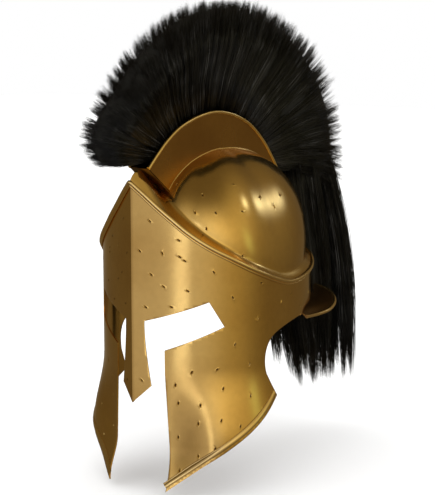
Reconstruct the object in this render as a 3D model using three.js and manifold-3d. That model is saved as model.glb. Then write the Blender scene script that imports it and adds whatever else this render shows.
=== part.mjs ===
// Corinthian-style brass helmet with a horsehair crest.
// Millimetres, +Z up. The face looks along -Y and the wearer's left is +X.
// The origin is the inside top of the skull bowl, where the helmet sits on a head.
import * as THREE from 'three';
import { mergeVertices } from 'three/addons/utils/BufferGeometryUtils.js';
import Module from 'manifold-3d';

const wasm = await Module();
wasm.setup();

// ---------------------------------------------------------------- driving dimensions
const SHEET = 1.4; // thickness of the raised brass sheet
const GAP = 0.3; // clearance between neighbouring pieces
const CROWN_Z = SHEET; // outside top of the bowl
const HALF_WIDTH = 100; // widest half of the face wall
const WIDEST_Y = -39;
const KEEL_Y = -140; // sharp vertical keel down the middle of the face
const BACK_Y = 125;
const KEEL_ANGLE = THREE.MathUtils.degToRad(23); // each side of the keel runs back at this angle
const PLAN_REACH = { keel: 58.5, cheek: 56.5, side: 94.5, back: 66 };

const BEAD_RADIUS = 2.7; // rolled seam between the face wall and the bowl
const BEAD_STAND = 1.2; // how far its centre stands outside the wall
const STATION_STEP = 17; // spacing of the wall's vertical grid lines
const LEVEL_STEP = 24; // spacing of its level grid lines
const GRID_CLEAR = 4; // grid lines closer than this to an edge are left out
const BAR_SEGMENTS = 3; // a rolled edge is a six-sided bar
const WELD = 1e-4; // points closer than this are one

const BOX_HALF = 12; // half width of the crest box, outside
const RIM_RADIUS = 1.9; // rolled upper rim of the crest box
const RIM_X = BOX_HALF + 0.5; // its centre line, either side
const BASE_RADIUS = 1.4; // bead where the crest box meets the bowl
const GUARD_RIM_RADIUS = 2; // rolled edge of the neck guard
const BAND_WIDTH = 6; // raised band along each cheek's lower edge
const BAND_THICK = 1.2;
const BAND_GAP = 0.6; // more than GAP, because the wall under it is faceted

// ---------------------------------------------------------------- plan of the face wall
const v2 = (a, b) => new THREE.Vector2(a, b);
const v3 = (a, b, c) => new THREE.Vector3(a, b, c);

const plan = new THREE.CurvePath();
plan.add(
  new THREE.CubicBezierCurve(
    v2(0, KEEL_Y),
    v2(PLAN_REACH.keel * Math.cos(KEEL_ANGLE), KEEL_Y + PLAN_REACH.keel * Math.sin(KEEL_ANGLE)),
    v2(HALF_WIDTH, WIDEST_Y - PLAN_REACH.cheek),
    v2(HALF_WIDTH, WIDEST_Y),
  ),
);
plan.add(
  new THREE.CubicBezierCurve(
    v2(HALF_WIDTH, WIDEST_Y),
    v2(HALF_WIDTH, WIDEST_Y + PLAN_REACH.side),
    v2(PLAN_REACH.back, BACK_Y),
    v2(0, BACK_Y),
  ),
);
const HALF_GIRTH = plan.getLength(); // keel to the middle of the back, along the wall

// Point `girth` along the half plan, moved `out` millimetres off the wall.
function planPoint(girth, out) {
  if (girth <= 0) return v2(0, KEEL_Y - out / Math.cos(KEEL_ANGLE));
  if (girth >= HALF_GIRTH) return v2(0, BACK_Y + out);
  const point = plan.getPoint(girth / HALF_GIRTH);
  const along = plan.getTangent(girth / HALF_GIRTH);
  return v2(point.x + along.y * out, point.y - along.x * out);
}

// ---------------------------------------------------------------- tables and blends
const ease = (value) => THREE.MathUtils.smoothstep(value, 0, 1);

// Smooth value of a table's column at `at`, through its rows (Catmull-Rom).
function tableValue(rows, key, column, at) {
  const last = rows.length - 1;
  let row = rows.findIndex((entry) => entry[key] > at) - 1;
  if (row === -2) row = last - 1;
  row = Math.max(row, 0);
  const span = rows[row + 1][key] - rows[row][key];
  const t = THREE.MathUtils.clamp((at - rows[row][key]) / span, 0, 1);
  const slope = (index) => {
    const before = rows[Math.max(index - 1, 0)];
    const after = rows[Math.min(index + 1, last)];
    return (after[column] - before[column]) / (after[key] - before[key]);
  };
  const a = rows[row][column];
  const b = rows[row + 1][column];
  const h = t * t * (3 - 2 * t);
  return (
    a * (1 - h) + b * h
    + span * (slope(row) * t * (1 - t) * (1 - t) - slope(row + 1) * t * t * (1 - t))
  );
}

// Height of the brow ridge along the girth: it falls from the brow's point to the back.
const RIDGE = [
  { girth: 0, z: -25 },
  { girth: 14, z: -37 },
  { girth: 28, z: -49.5 },
  { girth: 43, z: -62 },
  { girth: 59, z: -75 },
  { girth: 80, z: -89 },
  { girth: 100, z: -100 },
  { girth: 127, z: -114 },
  { girth: 150, z: -123.5 },
  { girth: 172, z: -131 },
  { girth: 190, z: -135.5 },
  { girth: 210, z: -137 },
  { girth: 233, z: -135.5 },
  { girth: 282, z: -129.5 },
  { girth: 305, z: -123 },
  { girth: 340, z: -117 },
  { girth: HALF_GIRTH, z: -115 },
];
const ridgeHeight = (girth) => tableValue(RIDGE, 'girth', 'z', girth);

// ---------------------------------------------------------------- mesh helpers
function geometryFrom(positions, triangles) {
  const loose = new THREE.BufferGeometry();
  loose.setAttribute('position', new THREE.Float32BufferAttribute(positions, 3));
  loose.setIndex(triangles);
  const geometry = mergeVertices(loose, WELD);
  const corners = Array.from(geometry.index.array);
  const kept = [];
  for (let i = 0; i < corners.length; i += 3) {
    const [a, b, c] = corners.slice(i, i + 3);
    if (a !== b && b !== c && c !== a) kept.push(a, b, c);
  }
  geometry.setIndex(kept);
  geometry.computeVertexNormals();
  return geometry;
}

function toSolid(geometry) {
  const bare = geometry.clone();
  bare.deleteAttribute('normal');
  bare.deleteAttribute('uv');
  const merged = mergeVertices(bare, WELD);
  return new wasm.Manifold(
    new wasm.Mesh({
      numProp: 3,
      vertProperties: new Float32Array(merged.attributes.position.array),
      triVerts: new Uint32Array(merged.index.array),
    }),
  );
}

function toGeometry(solid) {
  const mesh = solid.getMesh();
  return geometryFrom(Array.from(mesh.vertProperties), Array.from(mesh.triVerts));
}

// The same piece on the wearer's other side.
function mirrored(geometry) {
  const twin = geometry.clone().scale(-1, 1, 1);
  twin.setIndex(Array.from(twin.index.array).reverse());
  twin.computeVertexNormals();
  return twin;
}

const joined = (geometries) => geometries.map(toSolid).reduce((sum, piece) => sum.add(piece));

// Round bar along a curve.
function bar(points, radius, steps) {
  const path = new THREE.CatmullRomCurve3(points, false, 'centripetal');
  const round = new THREE.Shape();
  round.absarc(0, 0, radius, 0, Math.PI * 2, false);
  return new THREE.ExtrudeGeometry(round, { steps, extrudePath: path, curveSegments: BAR_SEGMENTS });
}

// Closed shell between an outer and an inner grid of points, open where the grid ends.
// rows[i][j] are the outer points; `wraps` joins the last row to the first.
function shell(outer, inner, wraps) {
  const rows = outer.length;
  const columns = outer[0].length;
  const positions = [...outer.flat(), ...inner.flat()].flatMap((p) => [p.x, p.y, p.z]);
  const under = rows * columns;
  const triangles = [];
  const quad = (a, b, c, d) => triangles.push(a, b, c, a, c, d);
  const at = (i, j) => (i % rows) * columns + j;
  const rowSpans = wraps ? rows : rows - 1;
  for (let i = 0; i < rowSpans; i += 1) {
    for (let j = 0; j < columns - 1; j += 1) {
      quad(at(i, j), at(i + 1, j), at(i + 1, j + 1), at(i, j + 1));
      quad(under + at(i, j + 1), under + at(i + 1, j + 1), under + at(i + 1, j), under + at(i, j));
    }
    quad(under + at(i, 0), under + at(i + 1, 0), at(i + 1, 0), at(i, 0));
    const end = columns - 1;
    quad(at(i, end), at(i + 1, end), under + at(i + 1, end), under + at(i, end));
  }
  if (!wraps) {
    for (let j = 0; j < columns - 1; j += 1) {
      const end = rows - 1;
      quad(at(0, j), at(0, j + 1), under + at(0, j + 1), under + at(0, j));
      quad(under + at(end, j), under + at(end, j + 1), at(end, j + 1), at(end, j));
    }
  }
  return geometryFrom(positions, triangles);
}

// Closed tube through rings of points, capped at both ends or joined into a loop.
function loft(rings, loop = false) {
  const sides = rings[0].length;
  const positions = rings.flat().flatMap((p) => [p.x, p.y, p.z]);
  const triangles = [];
  const at = (i, j) => (i % rings.length) * sides + (j % sides);
  const spans = loop ? rings.length : rings.length - 1;
  for (let i = 0; i < spans; i += 1) {
    for (let j = 0; j < sides; j += 1) {
      triangles.push(at(i, j), at(i + 1, j), at(i + 1, j + 1), at(i, j), at(i + 1, j + 1), at(i, j + 1));
    }
  }
  if (!loop) {
    [0, rings.length - 1].forEach((end, index) => {
      const middle = rings[end].reduce((sum, p) => sum.add(p), v3(0, 0, 0)).divideScalar(sides);
      positions.push(middle.x, middle.y, middle.z);
      const hub = rings.length * sides + index;
      for (let j = 0; j < sides; j += 1) {
        if (index === 0) triangles.push(hub, at(end, j), at(end, j + 1));
        else triangles.push(hub, at(end, j + 1), at(end, j));
      }
    });
  }
  return geometryFrom(positions, triangles);
}

// Closed surface through a loop of rows that all start and end at the same two points.
function surface(rows) {
  const columns = rows[0].length;
  const positions = rows.flat().flatMap((p) => [p.x, p.y, p.z]);
  const triangles = [];
  const at = (i, j) => (i % rows.length) * columns + j;
  for (let i = 0; i < rows.length; i += 1) {
    for (let j = 0; j < columns - 1; j += 1) {
      triangles.push(at(i, j), at(i + 1, j), at(i + 1, j + 1), at(i, j), at(i + 1, j + 1), at(i, j + 1));
    }
  }
  return geometryFrom(positions, triangles);
}

// Girth stations right round the wall: keel, wearer's left, back, wearer's right.
function roundTheWall(stations) {
  const left = stations.map((girth) => ({ girth, side: 1 }));
  const right = stations.slice(1, -1).reverse().map((girth) => ({ girth, side: -1 }));
  return [...left, ...right];
}

function evenStations(step) {
  const count = Math.round(HALF_GIRTH / step);
  return Array.from({ length: count + 1 }, (_, index) => (HALF_GIRTH * index) / count);
}

// ---------------------------------------------------------------- face wall
const NAPE_Z = -178.3; // lower edge of the wall round the back
const CHEEK_TIP = v2(37, -344.5);
const REAR_CORNER = v2(163, -252);
// Lower edge of the half wall laid out flat, from the nape to the keel: `to` is where each
// stretch ends and `bends` are the points that pull it into a curve.
const LOWER_EDGE = [
  { to: v2(222, -177.5), bends: [] },
  { to: v2(172, -185), bends: [v2(194, -179)] }, // over the shoulder
  { to: v2(150, -227), bends: [v2(149, -191), v2(145, -209)] }, // back of the cheek
  { to: REAR_CORNER, bends: [] },
  { to: CHEEK_TIP, bends: [] },
  { to: v2(39.5, -298), bends: [v2(41, -325)] }, // front of the cheek
  { to: v2(35, -223), bends: [] },
  { to: v2(34.8, -197), bends: [] },
  { to: v2(97, -172), bends: [v2(66, -186)] }, // eye slot
  { to: v2(81, -146), bends: [] },
  { to: v2(13.5, -167), bends: [v2(46, -159)] },
  { to: v2(20.6, -235), bends: [v2(13, -190)] }, // nasal
  { to: v2(0, -253.5), bends: [] },
];
const EDGE_STEPS = 5; // straight pieces in each curved stretch
const SPLAY = { out: 12, top: -216, tall: 80, from: 42, wide: 55 }; // cheeks spread outwards
const TIP_FLARE = { out: 10, top: -298, tall: 48 }; // and their front tips turn out
const NAPE_TUCK = { in: 7, top: -168, tall: 10, from: 225, wide: 40 }; // wall draws in at the nape

// How far the wall stands off its plan at a place on it.
function wallOut(girth, z) {
  const splay = ease((SPLAY.top - z) / SPLAY.tall) * ease((girth - SPLAY.from) / SPLAY.wide);
  const tip = ease((TIP_FLARE.top - z) / TIP_FLARE.tall) * (1 - ease((girth - SPLAY.from) / SPLAY.wide));
  const tuck = ease((NAPE_TUCK.top - z) / NAPE_TUCK.tall) * ease((girth - NAPE_TUCK.from) / NAPE_TUCK.wide);
  return SPLAY.out * splay + TIP_FLARE.out * tip - NAPE_TUCK.in * tuck;
}

function onWall(girth, z, side, out) {
  const point = planPoint(girth, wallOut(girth, z) + out);
  return v3(point.x * side, point.y, z);
}

// Vertical room that the seam bead takes below the ridge line, where the line slopes.
function beadRoom(girth) {
  const step = 2;
  const slope = (ridgeHeight(girth + step) - ridgeHeight(Math.max(girth - step, 0))) / (2 * step);
  return (BEAD_RADIUS + GAP) * Math.hypot(1, slope);
}

// The half wall laid out flat: x is girth from the keel, y is height.
function wallOutline() {
  const top = evenStations(STATION_STEP).map((girth) => v2(girth, ridgeHeight(girth) - beadRoom(girth)));
  const lower = new THREE.Path();
  lower.moveTo(HALF_GIRTH, NAPE_Z);
  LOWER_EDGE.forEach(({ to, bends }) => {
    const [first, second] = bends;
    if (second) lower.bezierCurveTo(first.x, first.y, second.x, second.y, to.x, to.y);
    else if (first) lower.quadraticCurveTo(first.x, first.y, to.x, to.y);
    else lower.lineTo(to.x, to.y);
  });
  return [...top, ...lower.getPoints(EDGE_STEPS)];
}

// The stretches of sheet between two neighbouring stations, bottom to top.
function columnSpans(outline, left, right) {
  const middle = (left + right) / 2;
  const crossings = [];
  outline.forEach((a, index) => {
    const b = outline[(index + 1) % outline.length];
    if (Math.min(a.x, b.x) >= middle || Math.max(a.x, b.x) <= middle) return;
    const heightAt = (girth) => a.y + ((b.y - a.y) * (girth - a.x)) / (b.x - a.x);
    crossings.push([heightAt(left), heightAt(middle), heightAt(right)]);
  });
  crossings.sort((a, b) => a[1] - b[1]);
  const spans = [];
  for (let i = 0; i < crossings.length; i += 2) {
    const [low, high] = [crossings[i], crossings[i + 1]];
    spans.push({ left: [low[0], high[0]], right: [low[2], high[2]] });
  }
  return spans;
}

// Sheet cut to the outline, rolled to the wall's plan, mirrored and given its thickness.
function rolledSheet(outline) {
  const tidy = (value) => Math.round(value * 1000) / 1000;
  const corners = [...new Set(outline.map((p) => tidy(p.x)))].sort((a, b) => a - b);
  const extra = evenStations(STATION_STEP)
    .map(tidy)
    .filter((girth) => corners.every((corner) => Math.abs(corner - girth) > GRID_CLEAR));
  const stations = [...corners, ...extra].sort((a, b) => a - b);
  const columns = stations.slice(1).map((right, i) => columnSpans(outline, stations[i], right));
  const heights = stations.map((_, i) => {
    const before = (columns[i - 1] ?? []).flatMap((span) => span.right);
    const after = (columns[i] ?? []).flatMap((span) => span.left);
    const ends = [...new Set([...before, ...after].map(tidy))];
    const lowest = Math.min(...ends);
    const highest = Math.max(...ends);
    const levels = [];
    for (let z = highest - LEVEL_STEP; z > lowest; z -= LEVEL_STEP) {
      const level = Math.round(z / LEVEL_STEP) * LEVEL_STEP;
      if (ends.every((end) => Math.abs(end - level) > GRID_CLEAR)) levels.push(level);
    }
    return [...new Set([...ends, ...levels])].sort((a, b) => a - b);
  });

  const points = [];
  const ids = new Map();
  const vertex = (i, z, side) => {
    const shared = i === 0 || i === stations.length - 1;
    const name = `${shared ? 1 : side}|${i}|${z}`;
    if (!ids.has(name)) {
      ids.set(name, points.length);
      points.push({ girth: stations[i], z, side });
    }
    return ids.get(name);
  };
  const faces = [];
  columns.forEach((spans, i) => spans.forEach((span) => [1, -1].forEach((side) => {
    const chain = (station, [low, high]) => heights[station]
      .filter((z) => z >= tidy(low) && z <= tidy(high))
      .map((z) => ({ z, id: vertex(station, z, side) }));
    const left = chain(i, span.left);
    const right = chain(i + 1, span.right);
    let a = 0;
    let b = 0;
    while (a < left.length - 1 || b < right.length - 1) {
      const stepLeft = b === right.length - 1
        || (a < left.length - 1 && left[a + 1].z <= right[b + 1].z);
      const third = stepLeft ? left[a + 1] : right[b + 1];
      const face = [left[a].id, right[b].id, third.id];
      faces.push(side > 0 ? face : face.reverse());
      if (stepLeft) a += 1;
      else b += 1;
    }
  })));

  const place = (out) => points.flatMap(({ girth, z, side }) => onWall(girth, z, side, out).toArray());
  const under = points.length;
  const triangles = [];
  const edges = new Set();
  faces.forEach(([a, b, c]) => {
    triangles.push(a, b, c, under + a, under + c, under + b);
    [[a, b], [b, c], [c, a]].forEach(([from, to]) => edges.add(`${from}|${to}`));
  });
  edges.forEach((edge) => {
    const [from, to] = edge.split('|').map(Number);
    if (edges.has(`${to}|${from}`)) return;
    triangles.push(to, from, under + from, to, under + from, under + to);
  });
  return geometryFrom([...place(0), ...place(-SHEET)], triangles);
}

const makeFaceWall = () => rolledSheet(wallOutline());

// ---------------------------------------------------------------- seam bead
const BEAD_SIDES = 8;
const BEAD_STEP = 12; // spacing of its rings

function makeBrowRidge() {
  const rings = roundTheWall(evenStations(BEAD_STEP)).map(({ girth, side }) => {
    const steep = beadRoom(girth) / (BEAD_RADIUS + GAP);
    return Array.from({ length: BEAD_SIDES }, (_, j) => {
      const turn = (2 * Math.PI * j) / BEAD_SIDES;
      const point = planPoint(girth, BEAD_STAND + BEAD_RADIUS * Math.cos(turn));
      return v3(point.x * side, point.y, ridgeHeight(girth) + BEAD_RADIUS * Math.sin(turn) * steep);
    });
  });
  return loft(rings, true);
}

// ---------------------------------------------------------------- skull bowl
// Each row shapes the bowl's section above one station of the ridge. The dome comes down
// to a waist, and below it the sheet flares out to the seam.
// waist: its reach as a share of the seam's. rise: height of the waist over the ridge.
// crown, shoulder: pull of the dome's curve, as shares of the waist's reach.
// lift: height of the shoulder, as a share of the dome's. prow: upward kick of the flare.
const BOWL = [
  { girth: 0, waist: 0.65, rise: -12, crown: 0.38, shoulder: 0.76, lift: 0.66, prow: 30 },
  { girth: 30, waist: 0.77, rise: 4, crown: 0.44, shoulder: 0.87, lift: 0.56, prow: 3 },
  { girth: 60, waist: 0.83, rise: 8, crown: 0.49, shoulder: 0.93, lift: 0.53, prow: 1 },
  { girth: 100, waist: 0.88, rise: 9, crown: 0.53, shoulder: 0.98, lift: 0.52, prow: 0.5 },
  { girth: 150, waist: 0.915, rise: 9, crown: 0.55, shoulder: 1, lift: 0.5, prow: 0 },
  { girth: 190, waist: 0.93, rise: 9, crown: 0.55, shoulder: 1.01, lift: 0.5, prow: 0 },
  { girth: 260, waist: 0.935, rise: 9, crown: 0.56, shoulder: 1.05, lift: 0.6, prow: 0 },
  { girth: HALF_GIRTH, waist: 0.935, rise: 9, crown: 0.58, shoulder: 1.12, lift: 0.73, prow: 0 },
];
const SEAM_SPARE = 0.1; // extra clearance, because both pieces are faceted there
const SEAM_INSET = BEAD_STAND - BEAD_RADIUS - GAP - SEAM_SPARE; // the bowl stops inside the bead
const SEAM_LIFT = 0.9;
const FLARE_REACH = 0.3; // share of the flare's width that leaves the waist straight
const LIP_REACH = 0.3; // and that arrives level at the seam
const DOME_STEPS = 8;
const FLARE_STEPS = 4;

function bowlSection(girth) {
  const shape = (column) => tableValue(BOWL, 'girth', column, girth);
  const edge = planPoint(girth, SEAM_INSET);
  const seam = v2(edge.length(), ridgeHeight(girth) + SEAM_LIFT);
  const waist = v2(seam.x * shape('waist'), seam.y + shape('rise'));
  const shoulder = v2(waist.x * shape('shoulder'), waist.y + (CROWN_Z - waist.y) * shape('lift'));
  const width = seam.x - waist.x;
  const fall = waist.clone().sub(shoulder).normalize();
  const dome = new THREE.CubicBezierCurve(
    v2(0, CROWN_Z),
    v2(waist.x * shape('crown'), CROWN_Z),
    shoulder,
    waist,
  );
  const flare = new THREE.CubicBezierCurve(
    waist,
    waist.clone().addScaledVector(fall, width * FLARE_REACH),
    v2(seam.x - width * LIP_REACH, seam.y + shape('prow')),
    seam,
  );
  return { dome, flare, heading: edge.clone().normalize() };
}

function bowlGrid() {
  return roundTheWall(evenStations(STATION_STEP)).map(({ girth, side }) => {
    const { dome, flare, heading } = bowlSection(girth);
    const outwards = [...dome.getPoints(DOME_STEPS), ...flare.getPoints(FLARE_STEPS).slice(1)];
    return outwards.reverse().map((p) => v3(heading.x * p.x * side, heading.y * p.x, p.y));
  });
}

// The bowl's grid pushed off itself along its own normals.
function offsetGrid(grid, distance) {
  const rows = grid.length;
  const pole = grid[0].length - 1;
  return grid.map((row, i) => row.map((p, j) => {
    if (j === pole) return p.clone().add(v3(0, 0, distance));
    const round = grid[(i + 1) % rows][j].clone().sub(grid[(i + rows - 1) % rows][j]);
    const up = row[j + 1].clone().sub(row[Math.max(j - 1, 0)]);
    return p.clone().addScaledVector(round.cross(up).normalize(), distance);
  }));
}

function makeSkullBowl() {
  const outside = bowlGrid();
  return shell(outside, offsetGrid(outside, -SHEET), true);
}

// The bowl's outside and all that it covers, grown by the gap: it trims what sits on the bowl.
function bowlTrimmer() {
  const grown = offsetGrid(bowlGrid(), GAP);
  const hub = v3(0, 0, ridgeHeight(HALF_GIRTH / 2));
  const rings = grown.map((row) => [hub, ...row]);
  return toSolid(surface(rings));
}

// ---------------------------------------------------------------- crest box
// Rim of the box's side walls, from the front corner over the top and down the back.
const BOX_RIM = [
  { y: -126, z: -10.6 },
  { y: -110, z: 4 },
  { y: -94, z: 16.5 },
  { y: -74, z: 28 },
  { y: -48, z: 36.5 },
  { y: -20, z: 41 },
  { y: 5, z: 39.5 },
  { y: 30, z: 33 },
  { y: 52, z: 22.5 },
  { y: 74, z: 5 },
  { y: 90, z: -13 },
  { y: 103, z: -31 },
  { y: 112, z: -49 },
  { y: 119, z: -72 },
  { y: 121, z: -92 },
];
const BOX_FOOT = v2(-93, -37); // where its front plate meets the bowl
const BOX_PLUNGE = 4; // the plate runs on this far back and down, and the bowl trims it
// Underside of the side walls in (y, z), from the back: it lies inside the bowl, which trims it.
const BOX_UNDERSIDE = [v2(112, -92), v2(90, -60), v2(0, -30), v2(-80, -50)];
const FOOT_BEAD = { last: 108, spacing: 10, steps: 16 };
const RIM_BEAD = { points: 14, steps: 22 };
const RIM_STEPS = 22; // straight pieces along the side walls' rim
const HALVINGS = 40; // steps of a search by halving
const rimCurve = new THREE.SplineCurve(BOX_RIM.map((row) => v2(row.y, row.z)));

// Plate lying in a plane x = constant, from an outline in (y, z).
function sidePlate(outline, x, thickness) {
  const plate = new THREE.ExtrudeGeometry(outline, { depth: thickness, bevelEnabled: false });
  plate.applyMatrix4(new THREE.Matrix4().makeBasis(v3(0, 1, 0), v3(0, 0, 1), v3(1, 0, 0)));
  return plate.translate(x, 0, 0);
}

// Girth station whose section lies above the point (x, y).
function stationOver(x, y) {
  const wanted = Math.atan2(x, -y);
  let low = 0;
  let high = HALF_GIRTH;
  for (let i = 0; i < HALVINGS; i += 1) {
    const middle = (low + high) / 2;
    const seam = planPoint(middle, SEAM_INSET);
    if (Math.atan2(seam.x, -seam.y) < wanted) low = middle;
    else high = middle;
  }
  return (low + high) / 2;
}

// Height of the bowl's outside at (x, y), on its dome.
function bowlHeight(x, y) {
  const { dome } = bowlSection(stationOver(x, y));
  const reach = Math.hypot(x, y);
  let low = 0;
  let high = 1;
  for (let i = 0; i < HALVINGS; i += 1) {
    const middle = (low + high) / 2;
    if (dome.getPoint(middle).x < reach) low = middle;
    else high = middle;
  }
  return dome.getPoint((low + high) / 2).y;
}

function makeCrestBox() {
  const toe = BOX_FOOT.clone().add(v2(BOX_PLUNGE, -BOX_PLUNGE));
  const wall = new THREE.Shape([...rimCurve.getPoints(RIM_STEPS), ...BOX_UNDERSIDE, toe]);
  const corner = rimCurve.getPoint(0);
  const back = v2(2 * SHEET, 0); // the plate slants, so it is wider than its thickness along Y
  const plate = new THREE.Shape([corner, corner.clone().add(back), toe.clone().add(back), toe]);
  const pieces = [sidePlate(plate, -BOX_HALF, 2 * BOX_HALF)];
  [1, -1].forEach((side) => {
    pieces.push(sidePlate(wall, side > 0 ? BOX_HALF - SHEET : -BOX_HALF, SHEET));
    const rim = rimCurve.getPoints(RIM_BEAD.points).map((p) => v3(side * RIM_X, p.x, p.y));
    pieces.push(bar(rim, RIM_RADIUS, RIM_BEAD.steps));
    const foot = [];
    for (let y = BOX_FOOT.x; y <= FOOT_BEAD.last; y += FOOT_BEAD.spacing) {
      foot.push(v3(side * BOX_HALF, y, bowlHeight(BOX_HALF, y) + BASE_RADIUS));
    }
    pieces.push(bar(foot, BASE_RADIUS, FOOT_BEAD.steps));
  });
  return toGeometry(joined(pieces).subtract(bowlTrimmer()));
}

// ---------------------------------------------------------------- neck guard
// reach: how far the guard stands off the wall's plan. rim: height of its edge.
const GUARD = [
  { girth: 240, reach: 2.5, rim: -182 },
  { girth: 262, reach: 5, rim: -184.5 },
  { girth: 282, reach: 12, rim: -186 },
  { girth: 300, reach: 24, rim: -185.5 },
  { girth: 318, reach: 37, rim: -181.5 },
  { girth: 342, reach: 50, rim: -175 },
  { girth: HALF_GIRTH, reach: 59, rim: -172.5 },
];

const GUARD_GRID = { round: 12, across: 4, rim: 26 }; // steps each way, and along its rim

function makeNeckGuard() {
  const first = GUARD[0].girth;
  const left = Array.from({ length: GUARD_GRID.round + 1 }, (_, i) => (
    { girth: first + ((HALF_GIRTH - first) * i) / GUARD_GRID.round, side: 1 }
  ));
  const right = left.slice(0, -1).reverse().map(({ girth }) => ({ girth, side: -1 }));
  const top = NAPE_Z - GAP;
  const { across } = GUARD_GRID;
  const rim = [];
  const upper = [...left, ...right].map(({ girth, side }) => {
    const reach = tableValue(GUARD, 'girth', 'reach', girth);
    const edge = tableValue(GUARD, 'girth', 'rim', girth);
    const root = wallOut(girth, NAPE_Z) - SHEET;
    const row = Array.from({ length: across + 1 }, (_, j) => {
      const share = j / across;
      const point = planPoint(girth, THREE.MathUtils.lerp(root, reach, share));
      return v3(point.x * side, point.y, THREE.MathUtils.lerp(top, edge, ease(share)));
    });
    rim.push(row[across].clone().setZ(edge - SHEET / 2));
    return row;
  });
  const lower = upper.map((row) => row.map((p) => p.clone().setZ(p.z - SHEET)));
  return toGeometry(joined([shell(lower, upper, false), bar(rim, GUARD_RIM_RADIUS, GUARD_GRID.rim)]));
}

// ---------------------------------------------------------------- cheek bands
const BAND_STEPS = 12;
const BAND_INSET = 0.6; // it lies this far above the cheek's cut edge
const BAND_FROM = CHEEK_TIP.clone().add(v2(1.5, 4)); // and stops short of both corners
const BAND_TO = REAR_CORNER.clone().add(v2(-2, 1));

// The band on the wearer's right.
function makeCheekBand() {
  const along = BAND_TO.clone().sub(BAND_FROM).normalize();
  const up = v2(-along.y, along.x);
  const skin = (out) => Array.from({ length: BAND_STEPS + 1 }, (_, i) => {
    const edge = BAND_FROM.clone().lerp(BAND_TO, i / BAND_STEPS).addScaledVector(up, BAND_INSET);
    return [0, 0.5, 1].map((share) => {
      const spot = edge.clone().addScaledVector(up, BAND_WIDTH * share);
      return onWall(spot.x, spot.y, -1, out);
    });
  });
  return shell(skin(BAND_GAP), skin(BAND_GAP + BAND_THICK), false);
}

// ---------------------------------------------------------------- plume
// Outer edge of the crest's fan of hair, seen from the side: `angle` is measured from level
// backwards (+Y), `reach` from the middle of the fan.
const FAN_MIDDLE = v2(10, -20);
const FAN_EDGE = [
  { angle: -6, reach: 208 },
  { angle: 4, reach: 221 },
  { angle: 20, reach: 217 },
  { angle: 36, reach: 206 },
  { angle: 53, reach: 193 },
  { angle: 71, reach: 185 },
  { angle: 90, reach: 181 },
  { angle: 107, reach: 180 },
  { angle: 126, reach: 180 },
  { angle: 141, reach: 185 },
  { angle: 154, reach: 192 },
  { angle: 165, reach: 207 },
  { angle: 171, reach: 205 },
  { angle: 176, reach: 184 },
];
// Half thickness of the fan from its root in the box (share 0) to its tips (share 1).
const FAN_SECTION = [
  { share: 0, half: 9 },
  { share: 0.2, half: 10.2 },
  { share: 0.5, half: 20 },
  { share: 0.78, half: 27 },
  { share: 0.93, half: 24 },
  { share: 1, half: 9 },
];
const FRONT_LOCKS = { turn: 0.12, half: 0.62 }; // the lowest front locks are bound thinner
const FAN_ROOT = { first: 0.055, last: 0.78, depth: 6 }; // stretch of the box's rim it fills
const FAN_LOCKS = 20;
const BETWEEN_LOCKS = { reach: 0.955, half: 0.88 }; // the hollow between two locks
const BOUND_SHARE = 0.3; // up to here the hair is bound evenly, and then it parts into locks

// Where a lock is bound inside the box, `turn` of the way from its front to its back.
function fanRoot(turn) {
  const onRim = rimCurve.getPointAt(THREE.MathUtils.lerp(FAN_ROOT.first, FAN_ROOT.last, turn));
  return v2(onRim.x, onRim.y - FAN_ROOT.depth);
}

function makePlumeCrest() {
  const spans = FAN_LOCKS * 2;
  const rings = Array.from({ length: spans + 1 }, (_, i) => {
    const turn = i / spans;
    const hollow = i % 2 === 0;
    const angle = THREE.MathUtils.lerp(FAN_EDGE.at(-1).angle, FAN_EDGE[0].angle, turn);
    const reach = tableValue(FAN_EDGE, 'angle', 'reach', angle) * (hollow ? BETWEEN_LOCKS.reach : 1);
    const heading = THREE.MathUtils.degToRad(angle);
    const tip = FAN_MIDDLE.clone().add(v2(Math.cos(heading), Math.sin(heading)).multiplyScalar(reach));
    const root = fanRoot(turn);
    const thin = THREE.MathUtils.lerp(FRONT_LOCKS.half, 1, ease(turn / FRONT_LOCKS.turn));
    const across = (row, side) => {
      const spot = root.clone().lerp(tip, row.share);
      const spread = row.share < BOUND_SHARE ? 1 : thin * (hollow ? BETWEEN_LOCKS.half : 1);
      return v3(side * row.half * spread, spot.x, spot.y);
    };
    return [
      ...FAN_SECTION.map((row) => across(row, 1)),
      ...[...FAN_SECTION].reverse().map((row) => across(row, -1)),
    ];
  });
  return loft(rings);
}

// Sections of the tail of hair from the crest's end down the back, top to bottom. `front` and
// `back` are Y, with their own heights, and `half` is its half width.
const TAIL = [
  { front: 128, frontZ: -38, back: 206, backZ: -48, half: 20 },
  { front: 130, frontZ: -60, back: 230, backZ: -66, half: 23 },
  { front: 132, frontZ: -100, back: 241, backZ: -103, half: 26 },
  { front: 132, frontZ: -140, back: 246, backZ: -143, half: 28 },
  { front: 136, frontZ: -160, back: 249, backZ: -168, half: 30 },
  { front: 190, frontZ: -168, back: 250, backZ: -186, half: 33 },
  { front: 178, frontZ: -205, back: 252, backZ: -215, half: 37 },
  { front: 158, frontZ: -238, back: 256, backZ: -244, half: 40 },
];
// Tips of its separate locks.
const TAIL_TIPS = [
  { x: 20, y: 268, z: -293 },
  { x: 32, y: 238, z: -300 },
  { x: 2, y: 250, z: -311 },
  { x: -12, y: 226, z: -309 },
  { x: 16, y: 206, z: -302 },
  { x: -26, y: 192, z: -306 },
  { x: -6, y: 180, z: -296 },
  { x: -34, y: 170, z: -284 },
  { x: -28, y: 150, z: -266 },
];
const TAIL_SIDES = 20;
const TAIL_LOBE = 0.93; // reach of the hollows between its outer locks
const TIP_ROOT = { spread: 0.72, z: -224, stagger: 1.7, radius: 12 };
const TIP_END_RADIUS = 1.5;
const TIP_SIDES = 6;

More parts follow.
